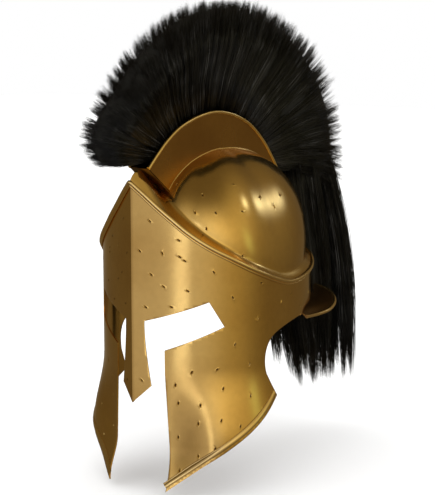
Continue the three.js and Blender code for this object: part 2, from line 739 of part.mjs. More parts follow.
function makePlumeTail() {
  const rings = TAIL.map((row) => Array.from({ length: TAIL_SIDES }, (_, j) => {
    const turn = (2 * Math.PI * j) / TAIL_SIDES;
    const lobe = j % 2 === 0 ? 1 : TAIL_LOBE;
    const share = 0.5 + 0.5 * Math.cos(turn) * lobe;
    return v3(
      -row.half * Math.sin(turn) * lobe,
      THREE.MathUtils.lerp(row.front, row.back, share),
      THREE.MathUtils.lerp(row.frontZ, row.backZ, share),
    );
  }));
  const last = TAIL.at(-1);
  const middle = v3(0, (last.front + last.back) / 2, 0);
  const locks = TAIL_TIPS.map((tip, index) => {
    const root = v3(tip.x, tip.y, 0).sub(middle).multiplyScalar(TIP_ROOT.spread).add(middle);
    root.setZ(TIP_ROOT.z - TIP_ROOT.stagger * index);
    const end = v3(tip.x, tip.y, tip.z);
    return loft([0, 0.5, 1].map((share) => Array.from({ length: TIP_SIDES }, (_, j) => {
      const turn = (2 * Math.PI * j) / TIP_SIDES;
      const radius = THREE.MathUtils.lerp(TIP_ROOT.radius, TIP_END_RADIUS, share * share);
      return root.clone().lerp(end, share).add(v3(Math.cos(turn), Math.sin(turn), 0).multiplyScalar(radius));
    })));
  });
  return toGeometry(joined([loft(rings), ...locks]));
}

// ---------------------------------------------------------------- materials and scene graph
const brass = (color, roughness) => new THREE.MeshStandardMaterial({ color, roughness, metalness: 1 });
const hair = (color) => new THREE.MeshStandardMaterial({ color, roughness: 0.55, metalness: 0 });

const helmet = new THREE.Group();
function add(name, geometry, material) {
  const mesh = new THREE.Mesh(geometry, material);
  mesh.name = name;
  helmet.add(mesh);
}

add('face_wall', makeFaceWall(), brass('#a9803f', 0.3));
add('skull_bowl', makeSkullBowl(), brass('#9c7233', 0.25));
add('brow_ridge', makeBrowRidge(), brass('#c39a52', 0.3));
add('crest_box', makeCrestBox(), brass('#8a5f26', 0.35));
add('neck_guard', makeNeckGuard(), brass('#8a5c2a', 0.35));
const band = makeCheekBand();
add('cheek_band_left', mirrored(band), brass('#b98d45', 0.3));
add('cheek_band_right', band, brass('#b98d45', 0.3));
add('plume_crest', makePlumeCrest(), hair('#14120f'));
add('plume_tail', makePlumeTail(), hair('#14120f'));

export default helmet;
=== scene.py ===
# %% [markdown]
# # A Corinthian helmet with a horsehair crest
# A brass helmet is raised and rolled from sheet, with rolled beads along its edges. This
# lesson dresses the measured model of one: each metal piece is made again as a fine, smooth
# mesh over its plain solid, and the crest's hair is grown strand by strand. Sizes in the
# tables are in millimetres, and become metres when a mesh is shaped.

import math

import bpy
import numpy as np
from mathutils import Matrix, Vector


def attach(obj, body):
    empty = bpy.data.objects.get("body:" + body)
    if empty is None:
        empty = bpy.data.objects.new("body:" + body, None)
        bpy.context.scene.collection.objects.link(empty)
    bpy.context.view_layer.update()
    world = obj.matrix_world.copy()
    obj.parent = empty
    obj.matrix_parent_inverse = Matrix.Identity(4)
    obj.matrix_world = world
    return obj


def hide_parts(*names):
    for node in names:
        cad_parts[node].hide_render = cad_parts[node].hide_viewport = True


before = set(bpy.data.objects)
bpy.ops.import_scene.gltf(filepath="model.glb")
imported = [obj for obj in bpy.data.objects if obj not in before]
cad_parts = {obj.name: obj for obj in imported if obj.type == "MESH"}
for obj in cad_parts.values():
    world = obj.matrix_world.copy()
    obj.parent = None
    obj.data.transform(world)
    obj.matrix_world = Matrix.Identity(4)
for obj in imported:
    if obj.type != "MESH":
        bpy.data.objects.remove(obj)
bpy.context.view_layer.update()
MM = 0.001
print("nodes:", sorted(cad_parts))

# %% [markdown]
# ## Camera, floor and light
# Satin brass shows little of its own colour: it shows the room. A tall soft box gives the
# long bright band, soft lamps all round give the rest, and between them the room is brown and
# dim. The floor and the backdrop are pale, but the metal doesn't mirror them.

# %% Camera
AIM = Vector((0.0, 0.01687, -0.11009))
BACK = Vector((0.5939, -0.7904, 0.1502))
DISTANCE = 1.6586


def linked(name, data):
    """An object in the scene that holds some data."""
    made = bpy.data.objects.new(name, data)
    bpy.context.scene.collection.objects.link(made)
    return made


camera_data = bpy.data.cameras.new("camera")
camera = linked("camera", camera_data)
camera.location = AIM + BACK.normalized() * DISTANCE
camera.rotation_mode = "QUATERNION"
camera.rotation_quaternion = (-BACK).to_track_quat("-Z", "Y")
camera_data.sensor_width = 36
camera_data.lens = 109.16
camera_data.shift_x = -0.0117
bpy.context.scene.camera = camera
print("camera at", tuple(round(v, 3) for v in camera.location))


# %% Selecting, editing, and applying what has been added
def clear_selection():
    if bpy.context.object and bpy.context.object.mode != "OBJECT":
        bpy.ops.object.mode_set(mode="OBJECT")
    bpy.ops.object.select_all(action="DESELECT")


def only(obj):
    clear_selection()
    obj.select_set(True)
    bpy.context.view_layer.objects.active = obj


def added(name):
    """What has just been made, under its name."""
    bpy.context.object.name = name
    return bpy.context.object


def edit(obj, action="SELECT"):
    only(obj)
    bpy.ops.object.mode_set(mode="EDIT")
    bpy.ops.mesh.select_all(action=action)


def end_edit():
    bpy.ops.object.mode_set(mode="OBJECT")


def apply_all(obj):
    only(obj)
    for modifier in list(obj.modifiers):
        bpy.ops.object.modifier_apply(modifier=modifier.name)


# %% Nodes and materials
def node(tree, kind, inputs=(), **values):
    """A node with its values set. inputs pair an input with its value, or with a socket."""
    made = tree.nodes.new("ShaderNode" + kind)
    for name, value in values.items():
        if hasattr(made, name):
            setattr(made, name, value)
        else:
            made.inputs[name.replace("_", " ")].default_value = value
    for target, source in inputs:
        if isinstance(source, bpy.types.NodeSocket):
            tree.links.new(source, made.inputs[target])
        else:
            made.inputs[target].default_value = source
    return made


def material(name, roughness):
    made = bpy.data.materials.new(name)
    made.use_nodes = True
    shader = made.node_tree.nodes["Principled BSDF"]
    shader.inputs["Roughness"].default_value = roughness
    return made, made.node_tree, shader


# %% Floor
FLOOR_Z = -0.352
clear_selection()
bpy.ops.mesh.primitive_plane_add(size=12, location=(0, 0, FLOOR_Z))
floor = added("floor")
floor_paint, _, shader = material("pale floor", 0.9)
shader.inputs["Base Color"].default_value = (0.95, 0.95, 0.95, 1)
floor.data.materials.append(floor_paint)
floor.visible_glossy = False
print("floor at", FLOOR_Z)

# %% Room: pale to the camera, dim brown with soft lamps in the metal
PALE = (1, 1, 1, 1)
ROOM_DIM = (0.125, 0.095, 0.05)
# what the floor and the hair are lit by from all round
FILL = (1.12, 1.12, 1.12, 1)
# azimuth and elevation of each soft lamp, how sharply it fades, and its colour
ROOM_LAMPS = [
    (24, 4, 12, (0.27, 0.3, 0.38)),
    (2, -12, 22, (0.22, 0.22, 0.26)),
    (28, -30, 9, (0.2, 0.2, 0.2)),
    (44, 18, 9, (0.62, 0.58, 0.44)),
    (80, 16, 6, (0.44, 0.38, 0.2)),
    (125, 28, 7, (0.3, 0.26, 0.14)),
    (112, 9, 90, (0.26, 0.42, 0.24)),
    (138, 33, 420, (1.9, 2.2, 2.6)),
    (160, 20, 420, (2.2, 2.6, 3.2)),
    (-135, -6, 20, (0.14, 0.15, 0.16)),
]


def heading(azimuth, elevation):
    a, e = math.radians(azimuth), math.radians(elevation)
    return Vector((math.sin(a) * math.cos(e), -math.cos(a) * math.cos(e), math.sin(e)))


world = bpy.data.worlds.new("room")
bpy.context.scene.world = world
world.use_nodes = True
tree = world.node_tree
tree.nodes.clear()
towards = node(tree, "TexCoord").outputs["Generated"]
total = ROOM_DIM
for azimuth, elevation, sharp, colour in ROOM_LAMPS:
    near = node(tree, "VectorMath", [(0, towards), (1, heading(azimuth, elevation))],
                operation="DOT_PRODUCT")
    ahead = node(tree, "Math", [(0, near.outputs["Value"]), (1, 0)], operation="MAXIMUM")
    fade = node(tree, "Math", [(0, ahead.outputs[0]), (1, sharp)], operation="POWER")
    tint = node(tree, "VectorMath", [(0, fade.outputs[0]), (1, colour), (2, total)],
                operation="MULTIPLY_ADD")
    total = tint.outputs["Vector"]
ray = node(tree, "LightPath")
dim, fill, pale = (
    node(tree, "Background", [("Color", colour)]).outputs[0] for colour in (total, FILL, PALE))
lit = node(tree, "MixShader", [("Fac", ray.outputs["Is Diffuse Ray"]), (1, dim), (2, fill)])
seen = node(tree, "MixShader", [
    ("Fac", ray.outputs["Is Camera Ray"]), (1, lit.outputs[0]), (2, pale)])
node(tree, "OutputWorld", [("Surface", seen.outputs[0])])
print("room lamps:", len(ROOM_LAMPS))

# %% Soft box, and the sky
# azimuth and elevation from the helmet, and metres
STRIP = {"azimuth": 21, "elevation": -6, "distance": 2.1, "width": 0.3, "height": 1.9,
         "brightness": 0.72, "tint": (0.93, 1.0, 1.22)}


def lamp(name, kind, **values):
    data = bpy.data.lights.new(name, kind)
    for key, value in values.items():
        setattr(data, key, value)
    return linked(name, data)


strip = lamp("tall strip", "AREA", shape="RECTANGLE", size=STRIP["width"],
             size_y=STRIP["height"], color=STRIP["tint"],
             energy=math.pi * STRIP["width"] * STRIP["height"] * STRIP["brightness"])
to_strip = heading(STRIP["azimuth"], STRIP["elevation"])
strip.location = AIM + to_strip * STRIP["distance"]
strip.rotation_mode = "QUATERNION"
strip.rotation_quaternion = (-to_strip).to_track_quat("-Z", "Y")
# a broad light from above for the floor and the hair, which the metal doesn't mirror
sky = lamp("sky", "SUN", energy=1.0, angle=math.radians(110))
sky.visible_glossy = False
print("lamps:", strip.name, "and", sky.name)

# %% [markdown]
# ## The plan that the sheet is rolled to
# The wall of the helmet is one sheet, laid out flat first: `girth` runs from the sharp keel of
# the face round to the back, and `z` is height. The plan is two smooth curves for half the
# helmet. A window-less Blender can't bend a sheet with its Bend tool, so the roll is a
# sum over the sheet's points, which is also exact.

# %% Plan of the wall
SHEET = 1.4
HALF_WIDTH = 100
WIDEST_Y = -39
KEEL_Y = -140
BACK_Y = 125
KEEL_ANGLE = math.radians(23)
PLAN_REACH = {"keel": 58.5, "cheek": 56.5, "side": 94.5, "back": 66}


def bezier(a, b, c, d, t):
    t = np.asarray(t)[..., None]
    s = 1 - t
    return s**3 * a + 3 * s * s * t * b + 3 * s * t * t * c + t**3 * d


def pairs(*points):
    return [np.array(point, float) for point in points]


def run_length(points):
    """How far along a run each of its points lies."""
    return np.concatenate([[0], np.cumsum(np.linalg.norm(np.diff(points, axis=0), axis=1))])


keel_pull = (
    PLAN_REACH["keel"] * math.cos(KEEL_ANGLE),
    KEEL_Y + PLAN_REACH["keel"] * math.sin(KEEL_ANGLE),
)
fine = np.linspace(0, 1, 2001)
front_half = bezier(
    *pairs((0, KEEL_Y), keel_pull, (HALF_WIDTH, WIDEST_Y - PLAN_REACH["cheek"]),
           (HALF_WIDTH, WIDEST_Y)), fine)
back_half = bezier(
    *pairs((HALF_WIDTH, WIDEST_Y), (HALF_WIDTH, WIDEST_Y + PLAN_REACH["side"]),
           (PLAN_REACH["back"], BACK_Y), (0, BACK_Y)), fine)
PLAN = np.vstack([front_half, back_half[1:]])
PLAN_GIRTH = run_length(PLAN)
HALF_GIRTH = PLAN_GIRTH[-1]
PLAN_ALONG = np.gradient(PLAN, PLAN_GIRTH, axis=0)
PLAN_ALONG /= np.linalg.norm(PLAN_ALONG, axis=1)[:, None]
print("half girth", round(HALF_GIRTH, 1), "mm")


# %% Points on and off the plan
def plan_point(girth, out):
    """X and Y, `out` millimetres off the wall; a negative girth is the wearer's right."""
    girth = np.asarray(girth, float)
    side = np.where(girth < 0, -1.0, 1.0)
    along = np.abs(girth)
    x, y = (np.interp(along, PLAN_GIRTH, PLAN[:, i]) for i in (0, 1))
    u, v = (np.interp(along, PLAN_GIRTH, PLAN_ALONG[:, i]) for i in (0, 1))
    px, py = x + v * out, y - u * out
    at_keel = along < 1e-6
    at_back = along > HALF_GIRTH - 1e-6
    px = np.where(at_keel | at_back, 0, px)
    py = np.where(at_keel, KEEL_Y - out / math.cos(KEEL_ANGLE), py)
    return px * side, py


def xyz(*values):
    return np.stack(values, axis=-1)


def ease(value):
    value = np.clip(value, 0, 1)
    return value * value * (3 - 2 * value)


def table_value(rows, column, at):
    """Smooth value of a table's column. The first column is the key, in rising order."""
    rows = np.array(rows, float)
    key, value = rows[:, 0], rows[:, column]
    slope = np.empty(len(key))
    slope[1:-1] = (value[2:] - value[:-2]) / (key[2:] - key[:-2])
    slope[0] = (value[1] - value[0]) / (key[1] - key[0])
    slope[-1] = (value[-1] - value[-2]) / (key[-1] - key[-2])
    at = np.clip(at, key[0], key[-1])
    row = np.clip(np.searchsorted(key, at, side="right") - 1, 0, len(key) - 2)
    span = key[row + 1] - key[row]
    t = (at - key[row]) / span
    h = ease(t)
    bend = slope[row] * t * (1 - t) ** 2 - slope[row + 1] * t * t * (1 - t)
    return value[row] * (1 - h) + value[row + 1] * h + span * bend


# girth, z of the brow ridge, which falls from the brow's point to the back
RIDGE = [
    (0, -25), (14, -37), (28, -49.5), (43, -62), (59, -75), (80, -89), (100, -100),
    (127, -114), (150, -123.5), (172, -131), (190, -135.5), (210, -137), (233, -135.5),
    (282, -129.5), (305, -123), (340, -117), (HALF_GIRTH, -115),
]


def ridge_height(girth):
    return table_value(RIDGE, 1, np.abs(girth))


# %% How far the wall stands off its plan
SPLAY = {"out": 12, "top": -216, "tall": 80, "from": 42, "wide": 55}
TIP_FLARE = {"out": 10, "top": -298, "tall": 48}
NAPE_TUCK = {"in": 7, "top": -168, "tall": 10, "from": 225, "wide": 40}


def wall_out(girth, z):
    girth = np.abs(girth)
    rear = ease((girth - SPLAY["from"]) / SPLAY["wide"])
    splay = ease((SPLAY["top"] - z) / SPLAY["tall"]) * rear
    tip = ease((TIP_FLARE["top"] - z) / TIP_FLARE["tall"]) * (1 - rear)
    tuck = ease((NAPE_TUCK["top"] - z) / NAPE_TUCK["tall"])
    tuck = tuck * ease((girth - NAPE_TUCK["from"]) / NAPE_TUCK["wide"])
    return SPLAY["out"] * splay + TIP_FLARE["out"] * tip - NAPE_TUCK["in"] * tuck


def on_wall(girth, z, out):
    x, y = plan_point(girth, wall_out(girth, z) + out)
    return xyz(x, y, z + 0 * x)


# %% [markdown]
# ## Blanks
# A smith starts from sheet and rod, and so do the next steps. `flat_blank` is a sheet cut to
# an outline: a filled circle with as many points as the outline has, moved onto it, and then
# scored by bisecting it into small faces, because a sheet can only roll smoothly where it
# has points. `rod_blank` is a cylinder scored into rings. Each is then shaped point by point.

# %% Moving a mesh's points
def points_of(obj):
    points = np.empty(len(obj.data.vertices) * 3)
    obj.data.vertices.foreach_get("co", points)
    return points.reshape(-1, 3)


def put_points(obj, points):
    obj.data.vertices.foreach_set("co", np.asarray(points, np.float32).ravel())
    obj.data.update()


def keep_values(obj, name, values):
    """A value for each point of a mesh, for its material to read."""
    layer = obj.data.attributes.new(name, "FLOAT", "POINT")
    layer.data.foreach_set("value", np.asarray(values, np.float32))


# %% Scoring a mesh into smaller faces
def score(obj, axis, places):
    edit(obj)
    across = np.eye(3)[axis]
    for place in places:
        bpy.ops.mesh.select_all(action="SELECT")
        bpy.ops.mesh.bisect(plane_co=tuple(across * place), plane_no=tuple(across))
    end_edit()


def flat_blank(name, outline):
    """A flat sheet in X and Z, cut to an outline."""
    clear_selection()
    bpy.ops.mesh.primitive_circle_add(vertices=len(outline), fill_type="NGON")
    sheet = added(name)
    x, z = np.asarray(outline, float).T
    put_points(sheet, xyz(x, 0 * x, z))
    return sheet


def rod_blank(name, sides, rings):
    """A rod of unit radius along X from 0 to 1, scored into rings."""
    clear_selection()
    bpy.ops.mesh.primitive_cylinder_add(
        vertices=sides, radius=1, depth=1, location=(0.5, 0, 0), rotation=(0, math.pi / 2, 0))
    rod = added(name)
    bpy.ops.object.transform_apply()
    score(rod, 0, np.linspace(0, 1, rings + 1)[1:-1])
    return rod


# %% Finishing a blank: doubles merged, faces outwards, given its thickness
WELD_REACH = 0.02
EDGE_RADIUS = 0.4


def weld(obj):
    edit(obj)
    bpy.ops.mesh.remove_doubles(threshold=WELD_REACH * MM)
    bpy.ops.mesh.normals_make_consistent(inside=False)
    end_edit()


def mirror(obj, reach):
    halves = obj.modifiers.new("both halves", "MIRROR")
    halves.merge_threshold = reach
    apply_all(obj)


def thicken(obj, side=-1, round_from=None):
    """Weld a blank, make it as thick as the sheet, and round its edges over an angle."""
    weld(obj)
    wall = obj.modifiers.new("thickness", "SOLIDIFY")
    wall.thickness = SHEET * MM
    wall.offset = side
    wall.use_even_offset = True
    if round_from:
        edge = obj.modifiers.new("rounded edges", "BEVEL")
        edge.width = EDGE_RADIUS * MM
        edge.segments = 2
        edge.limit_method = "ANGLE"
        edge.angle_limit = math.radians(round_from)
    apply_all(obj)


def smooth(obj, angle=32):
    only(obj)
    bpy.ops.object.shade_smooth_by_angle(angle=math.radians(angle))


# %% Small blows that leave a slit with a raised lip
NICK = {"half": 1.25, "wide": 0.5, "deep": 0.7, "lip": 0.22, "ring": 1.9, "band": 0.45,
        "steep": 5}
# reach of each finer patch round a blow, and how often its faces are cut
NICK_PATCHES = ((3.4, 3), (2.3, 2))
# points further off than this, or this deep under the skin, stay where they are
NICK_REACH = 5
SKIN_DEPTH = 0.5
# how squarely a struck face meets its blow: 1 is straight on
FACING = 0.5


def of_faces(obj, key):
    values = np.empty(len(obj.data.polygons) * 3)
    obj.data.polygons.foreach_get(key, values)
    return values.reshape(-1, 3)


def strike(obj, blows):
    """Blows are (place, outwards, direction of the slit), in millimetres."""
    for reach, cuts in NICK_PATCHES:
        centres, normals = of_faces(obj, "center") / MM, of_faces(obj, "normal")
        struck = np.zeros(len(centres), bool)
        for place, outwards, _ in blows:
            near = np.linalg.norm(centres - place, axis=1) < reach
            struck |= near & (normals @ outwards > FACING)
        edit(obj, "DESELECT")
        bpy.ops.mesh.select_mode(type="FACE")
        end_edit()
        obj.data.polygons.foreach_set("select", struck)
        bpy.ops.object.mode_set(mode="EDIT")
        bpy.ops.mesh.subdivide(number_cuts=cuts)
        bpy.ops.mesh.select_mode(type="VERT")
        end_edit()
    points = points_of(obj) / MM
    moved, values = points.copy(), np.zeros(len(points))
    for place, outwards, along in blows:
        near = np.flatnonzero(np.linalg.norm(points - place, axis=1) < NICK_REACH)
        gap = points[near] - place
        skin = gap @ outwards > -SKIN_DEPTH
        near, gap = near[skin], gap[skin]
        away = np.hypot(gap @ along / NICK["half"],
                        gap @ np.cross(outwards, along) / NICK["wide"])
        pit = 1 / (1 + away ** NICK["steep"])
        lip = np.exp(-(((away - NICK["ring"]) / NICK["band"]) ** 2))
        moved[near] += (NICK["lip"] * lip - NICK["deep"] * pit)[:, None] * outwards
        values[near] = np.maximum(values[near], pit)
    put_points(obj, moved * MM)
    keep_values(obj, "nick", values)
    print(obj.name, len(blows), "nicks,", len(obj.data.polygons), "faces")


# outwards is away from the helmet's axis, at this share of a blow's own height
MIDDLE_SHARE = 0.6
# how far to the side a surface is felt for its slope
FEEL = 0.5


def blows_on(spot, rows, scale=1):
    """Blows from rows of (first, second, turn) on a surface that spot() gives points of.
    scale is how large a millimetre is in the second."""
    blows = []
    for first, second, turn in rows:
        near = [spot(first + a * FEEL, second + b * FEEL * scale) for a, b in
                ((0, 0), (1, 0), (0, 1))]
        level, up = near[1] - near[0], near[2] - near[0]
        outwards = np.cross(level, up)
        outwards /= np.linalg.norm(outwards)
        if outwards @ (near[0] - np.array([0, 0, near[0][2] * MIDDLE_SHARE])) < 0:
            outwards = -outwards
        level /= np.linalg.norm(level)
        rise = np.cross(outwards, level)
        rise = rise if rise[2] > 0 else -rise
        along = math.cos(math.radians(turn)) * level + math.sin(math.radians(turn)) * rise
        blows.append((near[0], outwards, along))
    return blows


def belongs(obj, slot, *nodes):
    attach(obj, "root")
    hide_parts(*nodes)


# %% [markdown]
# ## The face wall
# One sheet with a T-shaped opening: a nasal down the middle, an eye slot either side, and
# cheek plates that sweep forward. It is cut flat, scored, rolled to the plan, thickened
# inwards, and then nicked by small blows.

# %% Outline of the half sheet
NAPE_Z = -178.3
CHEEK_TIP = (37, -344.5)
REAR_CORNER = (163, -252)
CURVE_STEPS = 14
TOP_POINTS = 140
UNDER_SEAM = 1
# where each stretch ends, and the points that pull it into a curve
LOWER_EDGE = [
    ((222, -177.5), []),
    ((172, -185), [(194, -179)]),
    ((150, -227), [(149, -191), (145, -209)]),
    (REAR_CORNER, []),
    (CHEEK_TIP, []),
    ((39.5, -298), [(41, -325)]),
    ((35, -223), []),
    ((34.8, -197), []),
    ((97, -172), [(66, -186)]),
    ((81, -146), []),
    ((13.5, -167), [(46, -159)]),
    ((20.6, -235), [(13, -190)]),
    ((0, -253.5), []),
]


def half_outline():
    top_girth = np.linspace(0, HALF_GIRTH, TOP_POINTS)
    outline = [(g, z - UNDER_SEAM) for g, z in zip(top_girth, ridge_height(top_girth))]
    here = (HALF_GIRTH, NAPE_Z)
    outline.append(here)
    for end, bends in LOWER_EDGE:
        first, second = (bends + bends[-1:] + [here, end])[:2] if bends else (here, end)
        if len(bends) == 1:
            a, b, c = np.array(here), np.array(bends[0]), np.array(end)
            first, second = a + (b - a) * 2 / 3, c + (b - c) * 2 / 3
        steps = CURVE_STEPS if bends else 1
        run = bezier(*pairs(here, first, second, end), np.linspace(0, 1, steps + 1)[1:])
        outline.extend(map(tuple, run))
        here = end
    return outline


# %% Cut and score the sheet
STEP = 3.2
LEVELS = (-340, -28)
wall = flat_blank("face_wall_sheet", half_outline())
score(wall, 0, np.arange(STEP, HALF_GIRTH, STEP))
score(wall, 2, np.arange(*LEVELS, STEP))
mirror(wall, 0.01)
print("face wall sheet:", len(wall.data.polygons), "faces")

# %% Roll the wall
flat = points_of(wall)
put_points(wall, on_wall(flat[:, 0], flat[:, 2], 0) * MM)
thicken(wall, round_from=38)

# %% [markdown]
# ### Nicks
# Old blows left small slits in the sheet, each with a raised lip. `strike` subdivides a fine
# patch of the outer skin round each one and pushes its points in along the slit. The left
# side's places are charted, the right side has them mirrored with a little drift, and those
# round the back are drawn at random.

# %% Where the blows fell
# girth and z of each slit, and its turn from level in degrees
WALL_NICKS = [
    (20, -63, -40), (9, -94, -35), (33, -96, -70), (50, -82, -25), (51, -99, -30),
    (56, -103, -25), (21, -118, -35), (34, -130, -30), (59, -134, -20), (86, -115, -50),
    (106, -142, -60), (42, -151, -15), (15, -152, -25), (142, -130, -30), (136, -167, 60),
    (108, -191, 70), (125, -214, 75), (89, -216, 40), (63, -219, 60), (46, -233, 75),
    (95, -236, 75), (124, -246, 70), (136, -263, 65), (49, -252, 75), (72, -253, 80),
    (92, -268, 75), (110, -275, 70), (70, -272, 75), (49, -288, 80), (86, -297, 70),
    (70, -306, 80), (51, -322, 70), (10, -229, -40),
]
# how far the right side's places drift, and how near they may come to the keel
DRIFT = 4
KEEL_CLEAR = 7
# those at the back: first and last girth, how many a side, and how far each may stray
BACK_GIRTHS = (185, 320, 7)
BACK_STRAY = 8
BACK_Z = (-168, -146)
ANY_TURN = (-80, 80)
chance = np.random.default_rng(11)
wall_rows = list(WALL_NICKS)
for girth, z, turn in WALL_NICKS:
    drift = chance.uniform(-DRIFT, DRIFT, 2)
    wall_rows.append((-max(girth + drift[0], KEEL_CLEAR), z + drift[1], 180 - turn))
for side in (1, -1):
    for girth in np.linspace(*BACK_GIRTHS):
        wall_rows.append((side * (girth + chance.uniform(-BACK_STRAY, BACK_STRAY)),
                          chance.uniform(*BACK_Z), chance.uniform(*ANY_TURN)))
strike(wall, blows_on(
    lambda girth, z: on_wall(np.array([girth]), np.array([z]), 0)[0], wall_rows))
smooth(wall)
belongs(wall, "brass", "face_wall")

# %% [markdown]
# ## The rolled seam
# The wall and the bowl meet in a rolled bead that peaks over the face, with a thin lip of the
# wall's sheet showing under it.

# %% Seam bead
SEAM_RINGS = 180
# name, rise over the ridge, radius, how far off the wall, sides
SEAM_RODS = [("seam_roll", 0.75, 2.15, 1.6, 20), ("seam_lip", -2.2, 1.05, 1.2, 14)]


def steepness(girth, step=2.0):
    girth = np.abs(girth)
    rise = ridge_height(girth + step) - ridge_height(np.maximum(girth - step, 0))
    return np.hypot(1, rise / (2 * step))


def seam_rod(name, rise, radius, stand, sides):
    rod = rod_blank(name, sides, SEAM_RINGS)
    blank = points_of(rod)
    girth = blank[:, 0] * HALF_GIRTH
    x, y = plan_point(girth, stand + radius * blank[:, 1])
    z = ridge_height(girth) + (rise + radius * blank[:, 2]) * steepness(girth)
    put_points(rod, xyz(x, y, z) * MM)
    edit(rod, "DESELECT")
    end_edit()
    for face in rod.data.polygons:
        face.select = len(face.vertices) > 4
    bpy.ops.object.mode_set(mode="EDIT")
    bpy.ops.mesh.delete(type="ONLY_FACE")
    end_edit()
    return rod


def join(name, pieces):
    clear_selection()
    for piece in pieces:
        piece.select_set(True)
    bpy.context.view_layer.objects.active = pieces[0]
    bpy.ops.object.join()
    return added(name)


bead = join("brow_ridge_bead", [seam_rod(*row) for row in SEAM_RODS])
mirror(bead, 0.05 * MM)
weld(bead)
smooth(bead, 40)
belongs(bead, "polished_edge", "brow_ridge")

# %% [markdown]
# ## The skull bowl
# Half a sphere, pulled to the bowl's own sections: a dome that comes down to a waist, and a
# flare below it that runs out to the seam.

# %% Sections of the bowl
CROWN_Z = SHEET
SEAM_INSET = -0.8
SEAM_LIFT = 0.9
FLARE_REACH = 0.3
LIP_REACH = 0.3
DOME_SHARE = 0.78
# girth, waist, rise, crown, shoulder, lift, prow
BOWL = [
    (0, 0.65, -12, 0.38, 0.76, 0.66, 30),
    (30, 0.77, 4, 0.44, 0.87, 0.56, 3),
    (60, 0.83, 8, 0.49, 0.93, 0.53, 1),
    (100, 0.88, 9, 0.53, 0.98, 0.52, 0.5),
    (150, 0.915, 9, 0.55, 1, 0.5, 0),
    (190, 0.93, 9, 0.55, 1.01, 0.5, 0),
    (260, 0.935, 9, 0.56, 1.05, 0.6, 0),
    (HALF_GIRTH, 0.935, 9, 0.58, 1.12, 0.73, 0),
]


def bowl_section(girth):
    """Control points of the dome and the flare over a place on the seam, as (reach, z)."""
    waist_share, rise, crown, shoulder_share, lift, prow = (
        table_value(BOWL, column, girth) for column in range(1, 7))
    x, y = plan_point(girth, SEAM_INSET)
    seam = xyz(np.hypot(x, y), ridge_height(girth) + SEAM_LIFT)
    waist = xyz(seam[:, 0] * waist_share, seam[:, 1] + rise)
    shoulder = np.stack(
        [waist[:, 0] * shoulder_share, waist[:, 1] + (CROWN_Z - waist[:, 1]) * lift], axis=-1)
    top = xyz(0 * rise, 0 * rise + CROWN_Z)
    pull = xyz(waist[:, 0] * crown, 0 * rise + CROWN_Z)
    width = (seam[:, 0] - waist[:, 0])[:, None]
    fall = waist - shoulder
    fall /= np.linalg.norm(fall, axis=1)[:, None]
    low = xyz(seam[:, 0] - width[:, 0] * LIP_REACH, seam[:, 1] + prow)
    dome = (top, pull, shoulder, waist)
    flare = (waist, waist + fall * width * FLARE_REACH, low, seam)
    return dome, flare


def bowl_point(girth, share):
    """Points of the bowl's outside, share 0 at the crown and 1 at the seam."""
    side = np.where(girth < 0, -1.0, 1.0)
    girth = np.abs(girth)
    dome, flare = bowl_section(girth)
    on_dome = bezier(*dome, np.clip(share / DOME_SHARE, 0, 1))
    on_flare = bezier(*flare, np.clip((share - DOME_SHARE) / (1 - DOME_SHARE), 0, 1))
    reach, z = np.where(share[:, None] < DOME_SHARE, on_dome, on_flare).T
    x, y = plan_point(girth, SEAM_INSET)
    length = np.hypot(x, y)
    return xyz(reach * x / length * side, reach * y / length, z)


stations = np.linspace(0, HALF_GIRTH, 1500)
station_x, station_y = plan_point(stations, SEAM_INSET)
STATION_HEADING = np.arctan2(station_x, -station_y)


def girth_over(x, y):
    return np.interp(np.arctan2(np.abs(x), -y), STATION_HEADING, stations)


# %% Raise the bowl
BOWL_SEGMENTS = 160
BOWL_RINGS = 120
clear_selection()
bpy.ops.mesh.primitive_uv_sphere_add(segments=BOWL_SEGMENTS, ring_count=BOWL_RINGS, radius=1)
bowl = added("skull_bowl_dome")
edit(bowl)
bpy.ops.mesh.bisect(plane_co=(0, 0, -1e-4), plane_no=(0, 0, 1), clear_inner=True)
end_edit()
ball = points_of(bowl)
share = np.arccos(np.clip(ball[:, 2], -1, 1)) / (math.pi / 2)
girth = girth_over(ball[:, 0], ball[:, 1]) * np.where(ball[:, 0] < -1e-5, -1, 1)
put_points(bowl, bowl_point(girth, np.clip(share, 0, 1)) * MM)
thicken(bowl)

# %% Nicks on the bowl
# girth and share of each slit, and its turn from level
BOWL_NICKS = [
    (30, 0.62, 10), (70, 0.55, -40), (88, 0.62, -45), (62, 0.7, -40), (77, 0.75, -50),
    (125, 0.55, 0), (120, 0.8, 60), (98, 0.85, 20), (120, 0.4, 30),
]
BOWL_DRIFT = 9
BOWL_BACK_GIRTHS = (170, 310, 6)
BOWL_BACK_SHARES = (0.42, 0.72)
SHARE_PER_MM = 0.01
bowl_rows = list(BOWL_NICKS)
for girth, share, turn in BOWL_NICKS:
    bowl_rows.append((-girth - chance.uniform(-BOWL_DRIFT, BOWL_DRIFT), share, 180 - turn))
for side in (1, -1):
    for girth in np.linspace(*BOWL_BACK_GIRTHS):
        bowl_rows.append((side * girth, chance.uniform(*BOWL_BACK_SHARES),
                          chance.uniform(*ANY_TURN)))
strike(bowl, blows_on(
    lambda girth, share: bowl_point(np.array([girth]), np.array([share]))[0], bowl_rows,
    SHARE_PER_MM))
smooth(bowl)
belongs(bowl, "brass", "skull_bowl")
print("skull bowl:", len(bowl.data.polygons), "faces")

# %% [markdown]
# ## The crest box
# Two flat side walls stand on the bowl with a slanting plate in front. A bead is rolled
# along their upper rims, and another covers the joint with the bowl.

